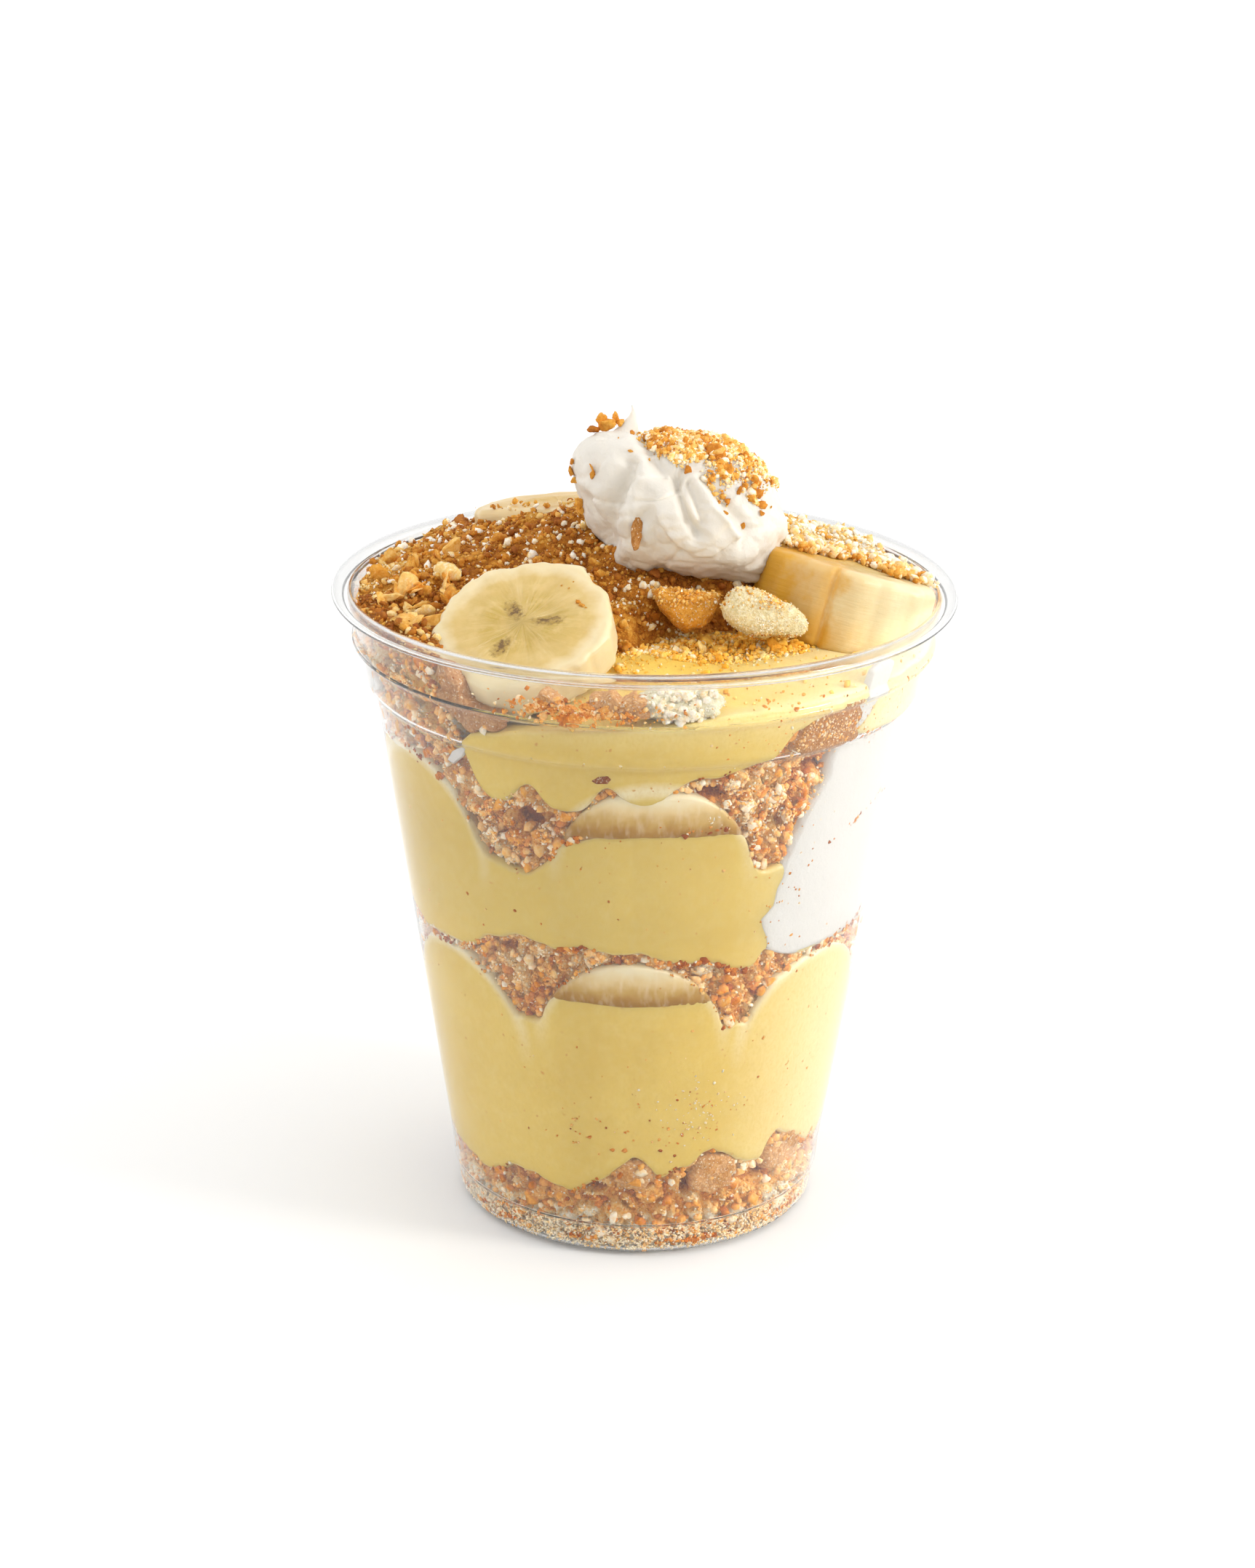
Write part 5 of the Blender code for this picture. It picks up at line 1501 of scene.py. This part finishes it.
# Folds: points, height of the fold and its width
STROKES = [
    ([(-7.6, 5.0), (-9.2, 1.4), (-10.7, -1.9), (-11.2, -5.1), (-10.7, -7.1)], -1.7, 1.3),
    ([(-14.2, 0.2), (-13.4, -2.4), (-12.4, -5.2)], -0.8, 0.7),
    ([(-12.6, 2.4), (-13.2, 5.6)], -0.35, 0.9),
    ([(-0.6, 2.2), (0.6, -1.4), (1.6, -3.9), (2.6, -5.6)], -1.6, 0.9),
    ([(1.5, 1.6), (2.5, -1.4), (3.3, -4.2)], -1.0, 0.5),
    ([(0.4, 1.0), (1.3, -1.6), (2.2, -3.6)], 0.7, 0.45),
    ([(2.6, 1.4), (4.9, -1.4), (7.2, -3.7), (8.6, -5.8)], 1.1, 0.8),
    ([(3.6, 2.4), (6.0, -0.4), (8.6, -3.0), (10.4, -5.4)], -0.8, 0.8),
    ([(-5.9, 9.2), (-4.6, 5.9), (-2.4, 3.0)], -1.0, 1.0),
    ([(-6.4, 1.8), (-7.4, -1.2), (-7.6, -4.2)], 0.5, 1.6),
    ([(-5.6, -3.4), (-4.0, -5.4), (-3.2, -8.4)], -0.4, 1.0),
    ([(-1.6, -9.6), (3.2, -10.6), (9.0, -9.6)], 0.45, 1.4),
]
# The fold that hangs over at the front
FLAP = [
    (2.6, 0.7), (4.9, -1.6), (7.2, -3.9), (8.6, -6.0), (6.9, -7.9), (4.7, -8.9), (2.1, -8.9), (-0.4, -7.6),
    (-2.1, -5.6), (-3.1, -4.4), (-3.9, -1.4), (-1.9, 1.2),
]
CRUMB_BED = [
    (-7.4, 9.0), (-6.4, 9.9), (-3.4, 12.0), (0.6, 12.2), (5.7, 12.0), (9.2, 10.4), (12.9, 7.9), (16.4, 4.0),
    (16.0, 1.2), (13.4, 1.7), (12.9, 0.2), (12.4, -2.2), (10.7, -1.7), (9.7, 0.4), (8.4, 1.2), (7.2, 0.2),
    (7.0, -1.9), (5.9, -1.4), (4.4, 0.7), (2.6, 3.5), (-0.9, 2.9), (-2.9, 4.6), (-5.4, 6.9),
]


def to_stroke(u, v, points):
    """Distance to a line through points."""
    best = np.full(np.shape(u), 1e9)
    for (ax, ay), (bx, by) in zip(points, points[1:]):
        run_x, run_y = bx - ax, by - ay
        share = np.clip(((u - ax) * run_x + (v - ay) * run_y) / (run_x ** 2 + run_y ** 2), 0, 1)
        best = np.minimum(best, np.hypot(u - ax - share * run_x, v - ay - share * run_y))
    return best


def inside(u, v, points):
    """How far inside an outline, less than 0 outside."""
    odd = np.zeros(np.shape(u), bool)
    for (ax, ay), (bx, by) in zip(points, points[1:] + points[:1]):
        if ay != by:
            odd ^= ((v < ay) != (v < by)) & (u < ax + (v - ay) * (bx - ax) / (by - ay))
    far = to_stroke(u, v, points + points[:1])
    return np.where(odd, far, -far)


DOLLOP_REACH = polar(DOLLOP_OUTLINE, 360, 2.0)


def dollop_surface(theta, phi):
    """Spots on the spoonful, in the cup and from its own middle. Theta runs from towards the viewer to away."""
    reach = np.interp(np.degrees(phi) % 360.0, np.arange(361), np.append(DOLLOP_REACH, DOLLOP_REACH[0]))
    flat = np.abs(np.sin(theta)) ** 0.9
    deep = np.where(np.cos(theta) > 0, 13.4, 13.6) * np.sign(np.cos(theta)) * np.abs(np.cos(theta)) ** 0.9
    u, v = flat * reach * np.cos(phi), flat * reach * np.sin(phi)
    raised = np.zeros(np.shape(u))
    for points, height, width in STROKES:
        raised = raised + height * np.exp(-(to_stroke(u, v, points) / width) ** 2)
    raised = raised + 1.3 * smoothstep(-0.35, 0.55, inside(u, v, FLAP)) * smoothstep(2.0, -3.5, v)
    spots = np.stack([u, v, deep], -1)
    creases = np.exp(-(noise(spots, 5.5, 86) / 0.07) ** 2) + 0.6 * np.exp(-(noise(spots, 3.2, 87) / 0.08) ** 2)
    raised = raised * smoothstep(-1.0, 4.0, deep) * 1.15 - 0.45 * creases + 0.4 * noise(spots, 5.0, 81)
    raised = raised + 0.28 * noise(spots, 2.0, 82) + 0.13 * noise(spots, 0.9, 83)
    spots = spots * (1.0 + raised / np.linalg.norm(spots, axis=-1))[..., None]
    return DOLLOP_CENTRE + spots[..., :1] * RIGHT + spots[..., 1:2] * UP - spots[..., 2:] * AHEAD, spots


# Larger crumbs on the spoonful: across, up and size
DOLLOP_CRUMBS = [
    (-10.9, 11.6, 1.5), (-9.4, 12.6, 1.4), (-11.6, 12.2, 1.1), (-12.7, 10.8, 1.1), (-8.8, 12.0, 0.8),
    (-16.2, 5.6, 0.8), (-16.3, 4.4, 1.0), (-16.0, 3.0, 0.7), (-13.2, 4.3, 0.7), (-13.0, 3.2, 0.8),
    (-15.4, -0.2, 0.9), (-15.0, -1.4, 0.9), (-7.2, 10.9, 0.5), (-7.1, 9.8, 0.5), (-4.5, 5.2, 0.4),
    (7.2, 3.6, 1.2), (5.4, 6.4, 1.3), (11.7, 0.1, 1.1), (12.2, -1.3, 1.0), (12.4, -2.6, 0.8),
    (9.7, -4.6, 0.5), (6.9, -2.9, 0.5), (14.0, -1.6, 0.3), (-7.3, 6.6, 0.4), (9.0, 0.6, 0.7),
    (7.3, -0.9, 0.9), (-9.3, 8.8, 0.4),
]
SPLINTER = [(-0.5, -2.7), (0.2, -2.5), (0.7, -0.6), (0.9, 1.6), (0.3, 2.6), (-0.5, 2.5), (-0.9, 0.8), (-0.9, -1.4)]


def make_dollop():
    """The spoonful with its small peak, the crumbs on it and the splinter in it."""
    draw = np.random.default_rng(13)
    rows, columns = 120, 220
    theta = np.linspace(0, math.pi, rows + 2)[1:-1, None]
    spots, flat = dollop_surface(*np.broadcast_arrays(theta, turns(columns)[None, :]))
    body, body_faces = closed_rings(spots)
    turn = turns(32)
    rings = []
    for share in np.linspace(1.0, 0.0, 26):
        radius = 0.14 + 3.2 * (1.0 - share) ** 1.5
        u = -6.0 - radius - 1.0 * share ** 2 + 0.25 * noise(np.array([[share * 6.0, 0.0, 0.0]]), 1.0, 5)[0]
        middle = DOLLOP_CENTRE + u * RIGHT + (9.2 + 5.6 * share) * UP
        rings.append(middle + radius * (np.outer(np.cos(turn), RIGHT) + 0.8 * np.outer(np.sin(turn), AHEAD)))
    peak, peak_faces = closed_rings(rings, rings[0].mean(0) + UP * 0.15, rings[-1].mean(0) - UP * 3.0)
    faces = body_faces + [part + len(body) for part in peak_faces]
    cream = cream_paint("cream_top", (0.70, 0.65, 0.57), (0.78, 0.74, 0.67))
    make_object("cream_spoonful", np.concatenate([body, peak]), faces, cream, ["cream_dollop"])

    def crumbs(count, sizes, level, middle):
        theta = np.arccos(draw.uniform(-0.4, 1.0, count))
        phi = draw.uniform(-0.3, math.pi, count)
        spots, flat = dollop_surface(theta, phi)
        depth = inside(flat[:, 0], flat[:, 1], CRUMB_BED)
        thick = smoothstep(-0.3, 2.4, depth + 1.4 * noise(spots, 2.2, 85))
        keep = (depth > -0.2) & (draw.uniform(0, 1, count) < thick)
        keep &= (flat[:, 2] >= 0) | (flat[:, 0] > -7.0)
        spots = spots[keep]
        size = crumb_sizes(draw, len(spots), sizes)
        centres = spots + unit(spots - DOLLOP_CENTRE) * (0.5 * size)[:, None]
        return toned(draw, grains(draw, centres, size, level), middle, 0.16)

    made = [
        crumbs(14000, (0.13, 0.34), 0, 0.74), crumbs(2000, (0.3, 0.62), 1, 0.68), crumbs(90, (0.7, 1.1), 2, 0.58),
    ]
    near = flat[..., 2] > -1.0
    front, front_flat = spots[near], flat[near]
    centres = []
    for u, v, size in DOLLOP_CRUMBS:
        best = np.argmin(np.hypot(front_flat[:, 0] - u, front_flat[:, 1] - v))
        spot = front[best] + (u - front_flat[best, 0]) * RIGHT + (v - front_flat[best, 1]) * UP
        centres.append(spot + unit(front[best] - DOLLOP_CENTRE) * 0.3 * size)
    group = grains(draw, centres, [size for _, _, size in DOLLOP_CRUMBS], 3)
    made.append((*group[:3], np.clip(draw.normal(0.42, 0.08, len(centres)), 0, 1)))
    crumb_piece("cream_crumbs", TOP_CRUMB, ["cream_dollop"], made)

    best = np.argmin(np.hypot(front_flat[:, 0] + 6.4, front_flat[:, 1] + 5.8))
    verts, faces = slab(front[best] - 0.3 * AHEAD, SPLINTER, 0.55, 7, square=3.0, relief=0.12, columns=64, rows=20)
    splinter = wafer_paint("wafer_splinter", (0.45, 0.17, 0.03), (0.66, 0.36, 0.12), 0.5)
    make_object("splinter_on_cream", verts, faces, splinter, ["cream_dollop"])


# Crumbs on the cup's inner side: count, angles, heights, sizes, middle tone and, where it isn't the usual, press
WALL_SPECKS = [
    (80, (5, 27), (21, 33), (0.08, 0.27), 1.25, 0.3), (26, (3, 29), (19, 30), (0.12, 0.34), 0.35),
    (30, (-34, 10), (18, 26), (0.16, 0.5), 0.38), (240, (31, 50), (87.6, 94.4), (0.12, 0.4), 0.78, 0.4),
    (420, (-28, 4), (94.6, 98.6), (0.14, 0.42), 0.5), (30, (-25, -2), (95.0, 98.2), (0.5, 1.1), 0.42),
    (20, (12, 40), (94, 99), (0.14, 0.5), 0.5), (22, (4, 42), (86, 96), (0.14, 0.4), 0.42),
    (60, (34, 74), (84, 100), (0.12, 0.36), 0.4), (36, (-40, 30), (58, 80), (0.10, 0.22), 0.36),
    (34, (-40, 40), (20, 46), (0.10, 0.2), 0.4), (40, (-95, -70), (18, 60), (0.12, 0.3), 0.36),
    (60, (18, 44), (70, 88), (0.12, 0.3), 0.9), (30, (30, 46), (52, 76), (0.14, 0.36), 0.33),
    (90, (-180, 180), (10, 100), (0.12, 0.3), 0.4),
]


def make_custard_crumbs(draw):
    """Crumbs on the custard: round the foot of the heap and in a patch at the front right."""
    def round_heap(count, sizes, level, spread, middle):
        angle = draw.uniform(-26, 78, count)
        share = draw.uniform(0.32, 0.985, count)
        past = share - heap_foot(angle)
        patch = 0.5 + 0.5 * noise(point_at(angle, share * TOP_RADIUS, 0.0), 3.4, 87)
        chance = np.exp(-np.maximum(past, 0) / spread) * 0.95 + 0.12 * patch * patch
        keep = (past > -0.12) & (draw.uniform(0, 1, count) < chance * (0.3 + 0.9 * patch))
        angle, share = angle[keep], share[keep]
        size = crumb_sizes(draw, len(angle), sizes)
        centre = point_at(angle, share * TOP_RADIUS, custard_surface(angle, share) + 0.35 * size)
        clear = off_slices(centre)
        return toned(draw, grains(draw, centre[clear], size[clear], level), middle, 0.12, 0.3, 0.08)

    def in_patch(count, sizes, level, middle):
        turn, far = draw.uniform(0, math.tau, count), np.sqrt(draw.uniform(0, 1, count))
        across, deep = 12.0 + 13.5 * far * np.cos(turn), -16.0 + 6.5 * far * np.sin(turn)
        size = crumb_sizes(draw, count, sizes)
        angle, share = np.degrees(np.arctan2(across, -deep)), np.hypot(across, deep) / TOP_RADIUS
        height = custard_surface(angle, share) + 0.3 * size + draw.uniform(0, 1, count) * 0.9 * (1.0 - far ** 2)
        return toned(draw, grains(draw, np.stack([across, deep, height], -1), size, level), middle, 0.1, 0.2, 0.06)

    crumb_piece("custard_crumbs", GOLDEN_BOUNCE_LIT_CRUMB, (), [
        round_heap(9000, FINE, 0, 0.12, 0.6), round_heap(1200, (0.34, 0.7), 1, 0.10, 0.54),
        round_heap(70, (0.8, 1.3), 2, 0.2, 0.75), in_patch(2600, (0.12, 0.34), 0, 0.62),
        in_patch(220, (0.34, 0.7), 1, 0.56), in_patch(14, (0.8, 1.3), 2, 0.5),
    ])


def make_slice_crumbs(draw):
    def on_slice(node, spots, lift=0.0):
        centre, axis, radii, thickness, _ = TOP_SLICES[node]
        right, back, up = disc_frame(axis)
        spots = np.array(spots, float)
        flat = np.array(centre) + np.outer(spots[:, 0] * radii[0], right) + np.outer(spots[:, 1] * radii[1], back)
        return flat + np.outer(thickness / 2 + 0.3 * spots[:, 2] + lift, up), spots[:, 2]

    # across and back in radii, and size
    chip = [
        (0.62, 0.20, 0.7), (0.66, 0.14, 0.6), (0.70, 0.10, 0.45), (0.42, 0.52, 0.3), (0.5, 0.46, 0.25),
        (0.55, 0.55, 0.2),
    ]
    made = [(*grains(draw, *on_slice("banana_slice_top", chip), 2)[:3], np.full(len(chip), 0.38))]
    count = 520
    turn, far = draw.uniform(0, math.pi, count), draw.uniform(0.45, 1.02, count)
    spots = np.stack([far * np.cos(turn), far * np.sin(turn), crumb_sizes(draw, count, (0.2, 1.0))], -1)
    centre, size = on_slice("banana_chunk_right", spots, draw.uniform(0, 1.2, count))
    made.append(toned(draw, grains(draw, centre, size, 1), 0.74, 0.16))
    spots[:, 1] *= -1.0
    centre, size = on_slice("banana_chunk_back", spots[:60], draw.uniform(0, 0.3, 60))
    made.append(toned(draw, grains(draw, centre, 0.6 * size, 1), 0.6, 0.16))
    crumb_piece("slice_crumbs", TOP_CRUMB, (), made)


def make_specks(draw):
    def on_wall(count, angles, heights, sizes, middle, press=0.27):
        angle = draw.normal((angles[0] + angles[1]) / 2, (angles[1] - angles[0]) / 4, count)
        height = draw.normal((heights[0] + heights[1]) / 2, (heights[1] - heights[0]) / 4, count)
        height = np.clip(height, 7.0, 99.5)
        size = crumb_sizes(draw, count, sizes)
        group = grains(draw, point_at(angle, inner(height) + press - 0.6 * size, height), size, press=press)
        return *group[:3], np.clip(draw.normal(middle, 0.2, count), 0, 1)

    crumb_piece("wall_specks", WALL_CRUMB, (), [on_wall(*row) for row in WALL_SPECKS])


def make_smears():
    """Thin cream at the wall."""
    for name, angle, height, press, thick, outline in (
        ("cream_smear", 50.0, 94.5, 0.26, 1.6, [
            (-4.6, -5.0), (-2.2, -5.4), (0.8, -3.4), (3.4, 0.4), (5.0, 4.6), (2.2, 5.8), (-0.6, 4.4), (-2.0, 0.4),
            (-4.6, -1.8),
        ]),
        ("cream_film", -41.5, 85.4, 0.26, 0.5, [
            (-2.3, -1.8), (-0.8, 0.2), (1.8, 1.7), (2.4, 1.4), (1.3, -0.2), (-1.0, -2.1),
        ]),
        ("cream_left", -76.0, 91.5, 0.22, 1.6, [
            (-5.0, -2.6), (-4.4, 2.0), (-0.4, 3.4), (3.4, 2.0), (5.0, -1.2), (1.0, -3.4),
        ]),
    ):
        verts, faces = wall_patch(angle, height, outline, press, thick, 0.6)
        make_object(name, verts, faces, CREAM, ())


make_cup()
make_base()
make_middle_crumbs()
make_upper_crumbs()
make_custards()
make_top_custard()
make_heap()
make_bananas()
make_wall_slices()
make_wafers()
make_side_cream()
make_smears()
make_dollop()
make_shards()
dust_draw = np.random.default_rng(17)
make_custard_crumbs(dust_draw)
make_slice_crumbs(dust_draw)
make_specks(dust_draw)


# Floor, lights and camera
def make_stage():
    """Pale floor, wide enough that its edge isn't seen."""
    paint = Paint("pale_floor", 0.7, (0.90, 0.90, 0.90))
    paint.set(Emission_Color=(1.0, 1.0, 1.0, 1.0), Emission_Strength=0.05,
              Base_Color=paint.blend(paint.noise(120.0, 2.0), (0.89, 0.89, 0.885), (0.91, 0.91, 0.905)))
    bpy.ops.mesh.primitive_plane_add(size=8.0, location=(0.0, 2.0, -0.0004))
    floor = bpy.context.object
    floor.name = "floor"
    floor.data.materials.append(paint.mat)


def make_lamp():
    """Soft warm light from the front right."""
    lamp = bpy.data.lights.new("key", "AREA")
    lamp.shape = "RECTANGLE"
    lamp.size, lamp.size_y = 0.16, 0.16
    lamp.energy = 2.0
    lamp.color = (1.0, 0.965, 0.90)
    obj = bpy.data.objects.new("key", lamp)
    bpy.context.scene.collection.objects.link(obj)
    place, target = np.array((0.62, -0.22, 0.40)), np.array((0.0, 0.0, 0.07))
    obj.location = place
    obj.rotation_euler = Vector(target - place).to_track_quat("-Z", "Y").to_euler()


WORLD_FRONT = 0.82  # strength in front of the cup, where behind it is 1
WORLD_TOP = 0.12  # added from above, and at the sides
WORLD_RIGHT = 0.75
WORLD_LEFT = 0.5


def make_world():
    """White room: bright behind and above the cup, dimmer in front of it."""
    world = bpy.data.worlds.new("studio")
    bpy.context.scene.world = world
    world.use_nodes = True
    tree = world.node_tree

    def add(kind, *inputs, **settings):
        node = tree.nodes.new("ShaderNode" + kind)
        for key, value in settings.items():
            setattr(node, key, value)
        for socket, value in zip(node.inputs, inputs):
            if isinstance(value, bpy.types.NodeSocket):
                tree.links.new(value, socket)
            elif value is not None:
                socket.default_value = value
        return node.outputs[0]

    way = tree.nodes.new("ShaderNodeSeparateXYZ").outputs
    tree.links.new(tree.nodes.new("ShaderNodeTexCoord").outputs["Generated"], way[0].node.inputs[0])
    light = None
    for axis, start, end, low, high in (
        ("Y", -0.55, 0.1, WORLD_FRONT, 1.0), ("Z", 0.15, 0.95, 0.0, WORLD_TOP),
        ("X", 0.3, 0.95, 0.0, WORLD_RIGHT), ("X", -0.3, -0.95, 0.0, WORLD_LEFT),
    ):
        more = add("MapRange", way[axis], start, end, low, high, interpolation_type="SMOOTHSTEP")
        light = more if light is None else add("Math", light, more, operation="ADD")
    path = tree.nodes.new("ShaderNodeLightPath").outputs
    first = add("Math", path["Diffuse Depth"], 0.5, operation="LESS_THAN")
    # an even white behind the plastic and where the camera looks past the cup
    clear = add("Math", path["Is Transmission Ray"], first, operation="MULTIPLY")
    light = add("Mix", clear, None, light, 0.93)
    light = add("Mix", path["Is Camera Ray"], None, light, 0.985)
    back = tree.nodes["Background"]
    tree.links.new(light, back.inputs["Strength"])
    back.inputs["Color"].default_value = (1.0, 1.0, 1.0, 1.0)


def make_camera():
    camera = bpy.data.cameras.new("camera")
    camera.lens = 76.70
    camera.sensor_width = 36.0
    camera.clip_start = 0.01
    obj = bpy.data.objects.new("camera", camera)
    bpy.context.scene.collection.objects.link(obj)
    place = (0.0, -0.501719, 0.255662)
    obj.matrix_world = Matrix([[RIGHT[i], UP[i], -AHEAD[i], place[i]] for i in range(3)] + [[0, 0, 0, 1]])
    bpy.context.scene.camera = obj


make_stage()
make_world()
make_lamp()
make_camera()
scene = bpy.context.scene
scene.view_settings.view_transform = "Standard"
scene.cycles.use_adaptive_sampling = True
scene.cycles.adaptive_threshold = 0.06
scene.cycles.use_denoising = True
scene.cycles.max_bounces = 16
scene.cycles.diffuse_bounces = 3
scene.cycles.glossy_bounces = 3
scene.cycles.transmission_bounces = 16
scene.cycles.transparent_max_bounces = 8
scene.cycles.caustics_reflective = True
scene.cycles.caustics_refractive = True
